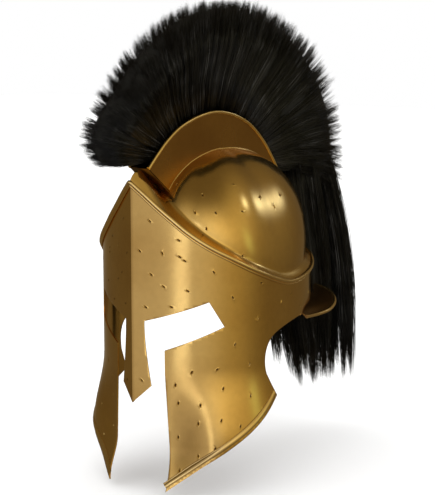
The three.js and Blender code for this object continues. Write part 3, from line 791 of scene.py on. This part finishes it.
# %% Rim of the box, and the bowl under it
BOX_HALF = 12
RIM_RADIUS = 1.9
RIM_X = BOX_HALF + 0.5
BASE_RADIUS = 1.4
BOX_RIM = [
    (-126, -10.6), (-110, 4), (-94, 16.5), (-74, 28), (-48, 36.5), (-20, 41), (5, 39.5),
    (30, 33), (52, 22.5), (74, 5), (90, -13), (103, -31), (112, -49), (119, -72), (121, -92),
]
BOX_FOOT = (-93, -37)


def spline(points, count):
    """Smooth run of points through a few, evenly shared between them."""
    points = np.asarray(points, float)
    padded = np.vstack([2 * points[0] - points[1], points, 2 * points[-1] - points[-2]])
    at = np.linspace(0, len(points) - 1, count)
    row = np.minimum(at.astype(int), len(points) - 2)
    t = (at - row)[:, None]
    a, b, c, d = (padded[row + k] for k in range(4))
    return 0.5 * (2 * b + (c - a) * t + (2 * a - 5 * b + 4 * c - d) * t**2
                  + (3 * b - a - 3 * c + d) * t**3)


def bowl_height(x, y):
    """Height of the bowl's dome over a place on the plan."""
    girth = girth_over(x, y)
    reach = np.hypot(x, y)
    low, high = np.zeros_like(reach), np.ones_like(reach)
    dome = bowl_section(girth)[0]
    for _ in range(40):
        middle = (low + high) / 2
        short = bezier(*dome, middle)[:, 0] < reach
        low, high = np.where(short, middle, low), np.where(short, high, middle)
    return bezier(*dome, (low + high) / 2)[:, 1]


RIM_POINTS = 170
FOOT_POINTS = 110
FOOT_END = 117.5
RIM_LINE = spline(BOX_RIM, RIM_POINTS)
foot_y = np.linspace(BOX_FOOT[0] + 0.5, FOOT_END, FOOT_POINTS)
FOOT_LINE = xyz(foot_y, bowl_height(0 * foot_y + BOX_HALF, foot_y))
print("crest box", round(float(RIM_LINE[:, 1].max()), 1), "mm over the crown")


# %% Walls of the box
def box_wall(name, side):
    plate = flat_blank(name, np.vstack([RIM_LINE, FOOT_LINE[::-1]]))
    y, _, z = points_of(plate).T
    put_points(plate, xyz(0 * y + side * BOX_HALF, y, z) * MM)
    return plate


# %% Rods laid along a path
def frames_along(path):
    """Two directions across a path at each of its points."""
    path = np.asarray(path, float)
    along = np.gradient(path, axis=0)
    along /= np.linalg.norm(along, axis=1)[:, None]
    side = np.cross(along, np.array([0.0, 0.0, 1.0]))
    weak = np.linalg.norm(side, axis=1) < 0.2
    side[weak] = np.cross(along[weak], np.array([0.0, 1.0, 0.0]))
    side /= np.linalg.norm(side, axis=1)[:, None]
    return side, np.cross(side, along)


def rod_along(name, path, radius, sides=14):
    """A round rod along a path, both in millimetres."""
    path = np.asarray(path, float)
    rod = rod_blank(name, sides, len(path) - 1)
    blank = points_of(rod)
    ring = np.rint(blank[:, 0] * (len(path) - 1)).astype(int)
    side, up = frames_along(path)
    spots = path[ring] + radius * (blank[:, 1:2] * side[ring] + blank[:, 2:3] * up[ring])
    put_points(rod, spots * MM)
    weld(rod)
    return rod


# %% Assemble the box
box_parts, rim_parts = [], []
for side, word in ((1, "left"), (-1, "right")):
    plate = box_wall("box_wall_" + word, side)
    thicken(plate, side=0)
    rim = np.column_stack([np.full(len(RIM_LINE), side * RIM_X), RIM_LINE])
    box_parts.append(plate)
    rim_parts.append(rod_along("box_rim_" + word, rim, RIM_RADIUS))
    foot = np.column_stack([
        np.full(len(FOOT_LINE), side * BOX_HALF), FOOT_LINE[:, 0], FOOT_LINE[:, 1] + 1])
    rim_parts.append(rod_along("box_foot_" + word, foot, BASE_RADIUS, 10))
front = flat_blank("box_front", [
    (-BOX_HALF, BOX_RIM[0][1]), (BOX_HALF, BOX_RIM[0][1]),
    (BOX_HALF, BOX_FOOT[1] - 1), (-BOX_HALF, BOX_FOOT[1] - 1)])
flat = points_of(front)
slope = (BOX_FOOT[0] - BOX_RIM[0][0]) / (BOX_FOOT[1] - BOX_RIM[0][1])
front_y = BOX_RIM[0][0] + (flat[:, 2] - BOX_RIM[0][1]) * slope
put_points(front, xyz(flat[:, 0], front_y, flat[:, 2]) * MM)
thicken(front, side=0, round_from=50)
front.name = "crest_box_front"
box = join("crest_box_shell", box_parts)
for piece in (box, front):
    smooth(piece)
    belongs(piece, "dark_brass", "crest_box")
box_rims = join("crest_box_rims", rim_parts)
smooth(box_rims)
belongs(box_rims, "polished_edge", "crest_box")
print("crest box:", len(box.data.polygons), "faces")

# %% [markdown]
# ## The neck guard
# A short tongue of sheet flares out behind the neck, with a rolled edge.

# %% Neck guard
GUARD_RIM_RADIUS = 2
# girth, reach off the wall's plan, z of the rim
GUARD = [
    (240, 2.5, -182), (262, 5, -184.5), (282, 12, -186), (300, 24, -185.5),
    (318, 37, -181.5), (342, 50, -175), (HALF_GIRTH, 59, -172.5),
]


def guard_point(turn, share):
    """turn runs 0 to 1 from the left end round the back to the right end."""
    across = np.abs(turn - 0.5) * 2
    girth = HALF_GIRTH - (HALF_GIRTH - GUARD[0][0]) * across
    side = np.where(turn > 0.5, -1.0, 1.0)
    reach = table_value(GUARD, 1, girth)
    rim = table_value(GUARD, 2, girth)
    root = wall_out(girth, NAPE_Z) - SHEET
    x, y = plan_point(girth, root + (reach - root) * share)
    z = (NAPE_Z - 0.3) * (1 - ease(share)) + rim * ease(share)
    return xyz(x * side, y, z)


GUARD_COLUMNS = 90
GUARD_ROWS = 12
clear_selection()
bpy.ops.mesh.primitive_grid_add(
    x_subdivisions=GUARD_COLUMNS, y_subdivisions=GUARD_ROWS, size=1, location=(0.5, 0.5, 0))
guard = added("neck_guard_flange")
bpy.ops.object.transform_apply()
blank = points_of(guard)
put_points(guard, guard_point(blank[:, 0], blank[:, 1]) * MM)
thicken(guard, side=0)
rim_turn = np.linspace(0, 1, 120)
rim = guard_point(rim_turn, 0 * rim_turn + 1)
guard_rim = rod_along("neck_guard_rim", rim, GUARD_RIM_RADIUS)
for piece, slot in ((guard, "dark_brass"), (guard_rim, "polished_edge")):
    smooth(piece, 40)
    belongs(piece, slot, "neck_guard")

# %% [markdown]
# ## Cheek bands
# A half-round band with a thin inner lip stiffens each cheek's lower edge.

# %% Cheek bands
BAND_WIDTH = 6
BAND_THICK = 1.2
BAND_INSET = 0.6
# half the share of its width that is a thin inner lip, past a groove
BAND_LIP = 0.17
LIP_HEIGHT = 0.55
BAND_LIFT = 0.15
BAND_FROM = np.array(CHEEK_TIP) + (1.5, 4)
BAND_TO = np.array(REAR_CORNER) + (-2, 1)


def cheek_band(name, side):
    run = BAND_TO - BAND_FROM
    run /= np.linalg.norm(run)
    up = np.array([-run[1], run[0]])
    band = rod_blank(name, 40, 60)
    blank = points_of(band)
    edge = BAND_FROM + (BAND_TO - BAND_FROM) * blank[:, :1]
    half = BAND_WIDTH / 2
    spot = edge + up * (BAND_INSET + half + half * blank[:, 1:2])
    roll = np.sqrt(np.clip(1 - ((blank[:, 1] + BAND_LIP) / (1 - BAND_LIP)) ** 2, 0, 1))
    lip = np.sqrt(np.clip(1 - ((blank[:, 1] - 1 + BAND_LIP) / BAND_LIP) ** 2, 0, 1))
    raised = np.where(blank[:, 1] < 1 - 2 * BAND_LIP, roll, LIP_HEIGHT * lip)
    out = BAND_LIFT + BAND_THICK * np.where(blank[:, 2] > 0, raised, -0.1)
    put_points(band, on_wall(spot[:, 0] * side, spot[:, 1], out) * MM)
    weld(band)
    smooth(band, 50)
    belongs(band, "polished_edge", "cheek_band_left" if side > 0 else "cheek_band_right")
    return band


bands = [cheek_band("cheek_band_near", 1), cheek_band("cheek_band_far", -1)]

# %% [markdown]
# ## The plume
# Horsehair is bound into the crest box and trimmed to a fan, and a longer tail hangs behind
# it. Each has a dark core for depth, and tens of thousands of strands round it: thin
# three-sided prisms that end in a point. Hairs stick together in small tufts, so each strand
# leans towards the tip of its tuft.

# %% Strands from arrays
rng = np.random.default_rng(7)
STRAND_SIDES = 3
TIP_WIDTH = 0.65


def strands(name, paths, radius, shade):
    """One mesh of many strands. paths is (strand, point, xyz) in millimetres."""
    count, points, _ = paths.shape
    along = np.gradient(paths, axis=1)
    along /= np.linalg.norm(along, axis=2, keepdims=True) + 1e-12
    turn = rng.normal(size=(count, 1, 3))
    side = np.cross(along, turn)
    side /= np.linalg.norm(side, axis=2, keepdims=True)
    up = np.cross(side, along)
    taper = np.linspace(1, TIP_WIDTH, points)[None, :, None] * radius[:, None, None]
    rings = []
    for k in range(STRAND_SIDES):
        angle = 2 * math.pi * k / STRAND_SIDES
        rings.append(paths + taper * (math.cos(angle) * side + math.sin(angle) * up))
    body = np.stack(rings, axis=2)[:, :-1]
    segments = points - 1
    body = body.reshape(count, segments * STRAND_SIDES, 3)
    all_points = np.concatenate([body, paths[:, -1:]], axis=1)
    each = segments * STRAND_SIDES + 1
    faces = []
    for ring in range(segments - 1):
        for k in range(STRAND_SIDES):
            a, b = ring * STRAND_SIDES + k, ring * STRAND_SIDES + (k + 1) % STRAND_SIDES
            c, d = b + STRAND_SIDES, a + STRAND_SIDES
            faces += [(a, b, c), (a, c, d)]
    last = (segments - 1) * STRAND_SIDES
    for k in range(STRAND_SIDES):
        faces.append((last + k, last + (k + 1) % STRAND_SIDES, each - 1))
    faces.append((0, 2, 1))
    faces = np.array(faces)
    corners = (faces[None] + each * np.arange(count)[:, None, None]).reshape(-1)
    mesh = bpy.data.meshes.new(name)
    mesh.vertices.add(count * each)
    mesh.vertices.foreach_set("co", (all_points * MM).astype(np.float32).ravel())
    mesh.loops.add(len(corners))
    mesh.loops.foreach_set("vertex_index", corners.astype(np.int32))
    triangles = len(corners) // 3
    mesh.polygons.add(triangles)
    mesh.polygons.foreach_set("loop_start", np.arange(0, len(corners), 3, dtype=np.int32))
    mesh.update(calc_edges=True)
    mesh.polygons.foreach_set("use_smooth", np.ones(triangles, bool))
    obj = linked(name, mesh)
    keep_values(obj, "shade", np.repeat(shade, each))
    along_share = np.append(np.repeat(np.linspace(0, 1, points)[:-1], STRAND_SIDES), 1)
    keep_values(obj, "share", np.tile(along_share, count))
    print(name, count, "strands,", triangles, "triangles")
    return obj


# how grey a bundle and a strand may be, and the power that keeps the painted glints few
BUNDLE_GREY = 0.06
STRAND_GREY = 0.04
GLINT_FEW = 13


def tones_and_glints(bundle):
    """Mostly black strands, greyer in some bundles; a few pale ones carry painted glints."""
    grey = BUNDLE_GREY * bundle**3 + STRAND_GREY * rng.random(len(bundle))
    return grey + rng.random(len(bundle)) ** GLINT_FEW


# %% Shape of the fan
FAN_MIDDLE = np.array([10.0, -20.0])
# angle from level backwards, reach from the middle of the fan
FAN_EDGE = [
    (-6, 212), (4, 225), (20, 221), (36, 209), (53, 196), (71, 187), (90, 182), (107, 182),
    (126, 184), (141, 191), (154, 200), (165, 216), (171, 214), (176, 192),
]
# share of the way to the tips, half thickness
FAN_SECTION = [(0, 9), (0.2, 10.2), (0.5, 20), (0.78, 27), (1, 29)]
FAN_ROOT = {"first": 0.055, "last": 0.78, "depth": 6}
FRONT_THIN = {"turn": 0.12, "half": 0.62}
FAN_ANGLES = (176, -6)
RIM_RUN = run_length(RIM_LINE)
RIM_RUN /= RIM_RUN[-1]


def fan_point(turn, share, across):
    """turn 0 at the front and 1 at the back, share 0 at the root, across -1 to 1."""
    at = FAN_ROOT["first"] + (FAN_ROOT["last"] - FAN_ROOT["first"]) * turn
    root_y = np.interp(at, RIM_RUN, RIM_LINE[:, 0])
    root_z = np.interp(at, RIM_RUN, RIM_LINE[:, 1]) - FAN_ROOT["depth"]
    angle = FAN_ANGLES[0] + (FAN_ANGLES[1] - FAN_ANGLES[0]) * turn
    reach = table_value(FAN_EDGE, 1, angle)
    heading = np.radians(angle)
    tip_y = FAN_MIDDLE[0] + np.cos(heading) * reach
    tip_z = FAN_MIDDLE[1] + np.sin(heading) * reach
    thin = FRONT_THIN["half"] + (1 - FRONT_THIN["half"]) * ease(turn / FRONT_THIN["turn"])
    thin = 1 + (thin - 1) * ease(share / 0.3)
    half = table_value(FAN_SECTION, 1, share) * thin
    return xyz(
        across * half, root_y + (tip_y - root_y) * share,
        root_z + (tip_z - root_z) * share)


# %% Core of the fan
CORE_MIDDLE, CORE_REACH, CORE_WIDTH = 0.46, 0.45, 0.86
fan_core = rod_blank("plume_crest_core", sides=28, rings=60)
blank = points_of(fan_core)
core_share = CORE_MIDDLE + CORE_REACH * blank[:, 1]
put_points(fan_core, fan_point(
    0.01 + 0.98 * blank[:, 0], core_share, CORE_WIDTH * blank[:, 2]) * MM)
weld(fan_core)
smooth(fan_core, 60)

# %% Strands of the fan
FAN_TUFTS = 1300
FAN_STRANDS = 9800
FAN_PIECES = 3
tuft_turn = rng.random(FAN_TUFTS)
tuft_across = rng.uniform(-1, 1, FAN_TUFTS)
tuft_length = rng.normal(1, 0.016, FAN_TUFTS)
tuft_shade = rng.random(FAN_TUFTS)
tuft_droop = rng.uniform(0.1, 1.9, FAN_TUFTS)
# how far the hindmost tips hang down over the tail, and where along the fan that starts
FAN_DROOP = 26
DROOP_FROM = 0.8
# spread of a tuft's strands along and across the fan, and the share gathered at its tip
SPREAD_TURN, SPREAD_ACROSS, GATHER = 0.006, 0.09, 0.8
FAN_WANDER, WANDER_GROWTH = 0.35, 1.4
FAN_RADIUS = (0.27, 0.42)


def fan_strands(name, count, points=4):
    tuft = rng.integers(0, FAN_TUFTS, count)
    spread_turn = rng.normal(0, SPREAD_TURN, count)
    spread_across = rng.normal(0, SPREAD_ACROSS, count)
    share = np.linspace(0, 1, points)[None, :]
    pull = 1 - GATHER * share**2
    turn = tuft_turn[tuft][:, None] + spread_turn[:, None] * pull
    across = tuft_across[tuft][:, None] + spread_across[:, None] * pull
    turn = 1 - np.abs(1 - np.abs(turn))
    across = np.clip(across, -1, 1)
    off = np.hypot(spread_turn / SPREAD_TURN, spread_across / SPREAD_ACROSS)
    end = tuft_length[tuft] * (1.005 - 0.016 * off) * rng.normal(0.995, 0.004, count)
    rounding = 1 - 0.09 * np.abs(across) ** 4
    shown = 0.04 + (0.96 * share) * end[:, None] * rounding
    paths = fan_point(turn.ravel(), shown.ravel(), across.ravel()).reshape(count, points, 3)
    droop = FAN_DROOP * tuft_droop[tuft][:, None]
    paths[..., 2] -= droop * ease((turn - DROOP_FROM) / (1 - DROOP_FROM)) * share**2
    wander = np.cumsum(rng.normal(0, FAN_WANDER, (count, points, 3)), axis=1)
    paths += wander * share[..., None] * WANDER_GROWTH
    return strands(name, paths, rng.uniform(*FAN_RADIUS, count), tones_and_glints(tuft_shade[tuft]))


fan_pieces = [
    fan_strands(f"plume_crest_hair_{k + 1}", FAN_STRANDS) for k in range(FAN_PIECES)]

# %% [markdown]
# ### The tail
# Long hair hangs from the back of the fan. Its locks are drawn as guide lines, and each
# strand follows its lock, loosely above and closely at the tip.

# %% Locks of the tail
# root (x, y, z), a point half way down, tip, and the width of the lock
TAIL_LOCKS = [
    ((0, 200, -24), (10, 234, -150), (16, 262, -290), 14),
    ((8, 194, -20), (20, 230, -160), (18, 240, -303), 14),
    ((-4, 186, -20), (0, 228, -165), (-6, 248, -306), 15),
    ((-8, 174, -20), (-10, 208, -165), (-10, 230, -302), 14),
    ((6, 164, -22), (12, 194, -160), (12, 214, -300), 14),
    ((-10, 156, -24), (-22, 180, -160), (-24, 196, -300), 14),
    ((2, 148, -26), (-2, 164, -155), (0, 186, -290), 14),
    ((-8, 142, -28), (-24, 150, -145), (-30, 174, -280), 13),
    ((6, 138, -32), (20, 144, -135), (24, 166, -268), 12),
    ((-4, 136, -34), (-14, 138, -140), (-20, 160, -262), 9),
    ((0, 134, -36), (-8, 130, -130), (-14, 142, -238), 8),
    ((0, 121, -40), (0, 134, -105), (2, 150, -210), 10),
]
# the ends sweep back, past the line of the lock
TAIL_SWEEP = 9
# each lock parts into thinner ones that end apart from each other
LOCK_PARTS = 3
PART_STRAY = (7, 9, 14)
PART_WIDTH = 0.8
LOWEST_TIP = -312
LOCK_WIDTH = [(0, 1.1), (0.35, 1), (0.6, 0.85), (0.8, 0.42), (1, 0.05)]
tail_shape, tail_width = [], []
for row in TAIL_LOCKS:
    for part in range(LOCK_PARTS):
        stray = rng.normal(size=3) * PART_STRAY * (part > 0)
        guide = np.array(row[:3], float) + stray * np.array([[0.1], [0.5], [1]])
        guide[2, 2] = max(guide[2, 2], LOWEST_TIP)
        tail_shape.append(guide)
        tail_width.append(row[3] * (PART_WIDTH if part else 1))
tail_width = np.array(tail_width)
tail_shade = rng.random(len(tail_width))


def lock_point(lock, share):
    """Point on each lock's guide line, a smooth curve through its three places."""
    root, half, tip = (np.array([tail_shape[i][k] for i in range(len(tail_shape))])[lock]
                       for k in range(3))
    share = share[:, None]
    pull = 2 * half - (root + tip) / 2
    return (1 - share) ** 2 * root + 2 * share * (1 - share) * pull + share**2 * tip


TAIL_STRANDS = 3850
TAIL_WANDER = 0.5
TAIL_RADIUS = (0.22, 0.36)
# the most that a strand may be shortened, and the power that keeps such strands few
TAIL_SHORT, FEW_SHORT = 0.4, 1.9


def tail_strands(name, count, points=8):
    lock = rng.integers(0, len(tail_shape), count)
    angle = rng.uniform(0, 2 * math.pi, count)
    away = np.sqrt(rng.random(count))
    end = 1 - TAIL_SHORT * rng.random(count) ** FEW_SHORT
    share = np.linspace(0, 1, points)[None, :] * end[:, None]
    middle = lock_point(np.repeat(lock, points), share.ravel()).reshape(count, points, 3)
    width = table_value(LOCK_WIDTH, 1, share.ravel()).reshape(count, points)
    width = width * tail_width[lock][:, None] * away[:, None]
    offset = xyz(np.cos(angle)[:, None] * width, np.sin(angle)[:, None] * width,
                       0 * width)
    wander = np.cumsum(rng.normal(0, TAIL_WANDER, (count, points, 3)), axis=1)
    paths = middle + offset + wander
    paths[..., 1] += TAIL_SWEEP * (share**5 - share**2)
    return strands(name, paths, rng.uniform(*TAIL_RADIUS, count), tones_and_glints(tail_shade[lock]))


tail_pieces = [tail_strands(f"plume_tail_hair_{k + 1}", TAIL_STRANDS) for k in range(2)]

# %% Core of the tail
# front and back edge with their own heights, half width
TAIL = [
    (128, -14, 200, -20, 12), (134, -60, 214, -66, 13), (140, -110, 224, -113, 15),
    (144, -150, 228, -153, 16), (154, -180, 226, -186, 14), (168, -204, 218, -208, 8),
]
tail_core = rod_blank("plume_tail_core", sides=24, rings=40)
blank = points_of(tail_core)
row = np.column_stack([np.arange(len(TAIL)), np.array(TAIL, float)])
front_y, front_z, back_y, back_z, half = (
    table_value(row, k, blank[:, 0] * (len(TAIL) - 1)) for k in range(1, 6))
towards = 0.5 + 0.5 * blank[:, 1]
put_points(tail_core, xyz(
    half * blank[:, 2], front_y + (back_y - front_y) * towards,
    front_z + (back_z - front_z) * towards) * MM)
weld(tail_core)
smooth(tail_core, 60)

# %% What the hair stands for
for piece in [fan_core] + fan_pieces:
    belongs(piece, "horsehair", "plume_crest")
for piece in [tail_core] + tail_pieces:
    belongs(piece, "horsehair", "plume_tail")

# %% [markdown]
# ## Finishes
# The brass is lacquered and aged: its colour drifts between gold and brown in soft patches,
# and its surface is a little uneven from the hammer. The slits of the nicks are painted nearly
# black. One group makes that for all the metal, and each material sets its own colours.

# %% Aged metal, as a group
aged = bpy.data.node_groups.new("aged metal", "ShaderNodeTree")
SOCKETS = {
    "INPUT": {"Bright": "Color", "Brown": "Color", "Tarnish": "Float", "Roughness": "Float"},
    "OUTPUT": {"Color": "Color", "Roughness": "Float", "Height": "Float"},
}
for way, sockets in SOCKETS.items():
    for name, kind in sockets.items():
        aged.interface.new_socket(name=name, in_out=way, socket_type="NodeSocket" + kind)
given = aged.nodes.new("NodeGroupInput")
result = aged.nodes.new("NodeGroupOutput")
place = node(aged, "TexCoord").outputs["Object"]
patches = node(aged, "TexNoise", [("Vector", place)], Scale=13.0, Detail=3.0)
patch_mask = node(aged, "MapRange", [("Value", patches.outputs["Fac"])],
                  From_Min=0.42, From_Max=0.72)
tarnished = node(aged, "Math", [(0, patch_mask.outputs[0]), (1, given.outputs["Tarnish"])],
                 operation="MULTIPLY")
colour = node(aged, "Mix", [
    (0, tarnished.outputs[0]), (6, given.outputs["Bright"]), (7, given.outputs["Brown"])],
    data_type="RGBA")
speck = node(aged, "TexNoise", [("Vector", place)], Scale=160.0, Detail=4.0)
speck_mask = node(aged, "MapRange", [("Value", speck.outputs["Fac"])],
                  From_Min=0.35, From_Max=0.75, To_Min=1.02, To_Max=0.96)
specked = node(aged, "Mix", [(0, 1), (6, colour.outputs[2]), (7, speck_mask.outputs[0])],
               data_type="RGBA", blend_type="MULTIPLY")
# the slits of the nicks are painted nearly black
nick = node(aged, "Attribute", attribute_name="nick")
dark = node(aged, "Mix", [
    (0, nick.outputs["Fac"]), (6, specked.outputs[2]), (7, (0.012, 0.008, 0.004, 1))],
    data_type="RGBA")
aged.links.new(dark.outputs[2], result.inputs["Color"])
rough_patch = node(aged, "MapRange", [("Value", patches.outputs["Fac"])],
                   From_Min=0.3, From_Max=0.8, To_Min=-0.03, To_Max=0.08)
rough = node(aged, "Math", [(0, rough_patch.outputs[0]), (1, given.outputs["Roughness"])],
             operation="ADD")
aged.links.new(rough.outputs[0], result.inputs["Roughness"])
uneven = node(aged, "TexNoise", [("Vector", place)], Scale=22.0, Detail=1.0)
aged.links.new(uneven.outputs["Fac"], result.inputs["Height"])


# %% Metal materials
def metal(name, bright, brown, tarnish, roughness, uneven):
    made, tree, shader = material(name, roughness)
    shader.inputs["Metallic"].default_value = 1
    surface = tree.nodes.new("ShaderNodeGroup")
    surface.node_tree = aged
    for key, value in (("Bright", (*bright, 1)), ("Brown", (*brown, 1)),
                       ("Tarnish", tarnish), ("Roughness", roughness)):
        surface.inputs[key].default_value = value
    bump = node(tree, "Bump", [("Height", surface.outputs["Height"])], Distance=uneven * MM)
    for key, source in (("Base Color", surface.outputs["Color"]),
                        ("Roughness", surface.outputs["Roughness"]),
                        ("Normal", bump.outputs[0])):
        tree.links.new(source, shader.inputs[key])
    return made


def wear(obj, finish):
    obj.data.materials.clear()
    obj.data.materials.append(finish)
    triangles = sum(len(face.vertices) - 2 for face in obj.data.polygons)
    print(obj.name, "in", finish.name, "with", triangles, "triangles")


# name, bright and brown colours, tarnish, roughness, unevenness in mm, and what wears it
METALS = [
    ("satin brass", (0.84, 0.54, 0.17), (0.6, 0.33, 0.08), 0.5, 0.17, 0.25, [wall]),
    ("polished bowl brass", (0.84, 0.55, 0.18), (0.54, 0.29, 0.07), 0.5, 0.17, 0.12, [bowl]),
    ("worn rolled brass", (0.95, 0.68, 0.29), (0.74, 0.44, 0.14), 0.4, 0.22, 0.25,
     [bead, box_rims, guard_rim] + bands),
    ("tarnished brass", (0.42, 0.22, 0.06), (0.26, 0.12, 0.03), 0.6, 0.27, 0.1, [box, guard]),
    # the crest box's front plate wears the tarnished brass darkened further: painted shade
    ("shaded brass", (0.17, 0.1, 0.045), (0.1, 0.055, 0.022), 0.6, 0.3, 0.1, [front]),
]
for *recipe, worn_by in METALS:
    finish = metal(*recipe)
    for piece in worn_by:
        wear(piece, finish)


# %% Horsehair: nearly black, and painted glints where a few pale strands show in patches
def hair_finish(name, roughness, scale, detail, black, pale):
    """A finish between two colours, and its tree, its noise and the mix of the two."""
    made, tree, shader = material(name, roughness)
    place = node(tree, "TexCoord").outputs["Object"]
    noise = node(tree, "TexNoise", [("Vector", place)], Scale=scale, Detail=detail)
    tone = node(tree, "Mix", [(0, noise.outputs["Fac"]), (6, (*black, 1)), (7, (*pale, 1))],
                data_type="RGBA")
    tree.links.new(tone.outputs[2], shader.inputs["Base Color"])
    return made, tree, noise, tone


# the pale colour here is painted glints
hair, tree, patch, tone = hair_finish(
    "black horsehair", 0.34, 34.0, 2.0, (0.0015, 0.0015, 0.0015), (0.13, 0.125, 0.115))
shade = node(tree, "Attribute", attribute_name="shade")
# painted glints: the pale strands show their pale colour only in these patches
painted_glint = node(tree, "MapRange", [("Value", patch.outputs["Fac"])],
             From_Min=0.46, From_Max=0.68, To_Min=0.1, To_Max=1.0)
painted_glint_share = node(tree, "Math", [(0, shade.outputs["Fac"]), (1, painted_glint.outputs[0])],
                  operation="MULTIPLY")
tree.links.new(painted_glint_share.outputs[0], tone.inputs[0])
core = hair_finish(
    "packed hair", 0.8, 240.0, 3.0, (0.003, 0.003, 0.003), (0.006, 0.006, 0.005))[0]
for piece in fan_pieces + tail_pieces:
    wear(piece, hair)
for piece in (fan_core, tail_core):
    wear(piece, core)
print("materials:", len(bpy.data.materials))

# %% Plain colour view, and the end
bpy.context.scene.view_settings.view_transform = "Standard"
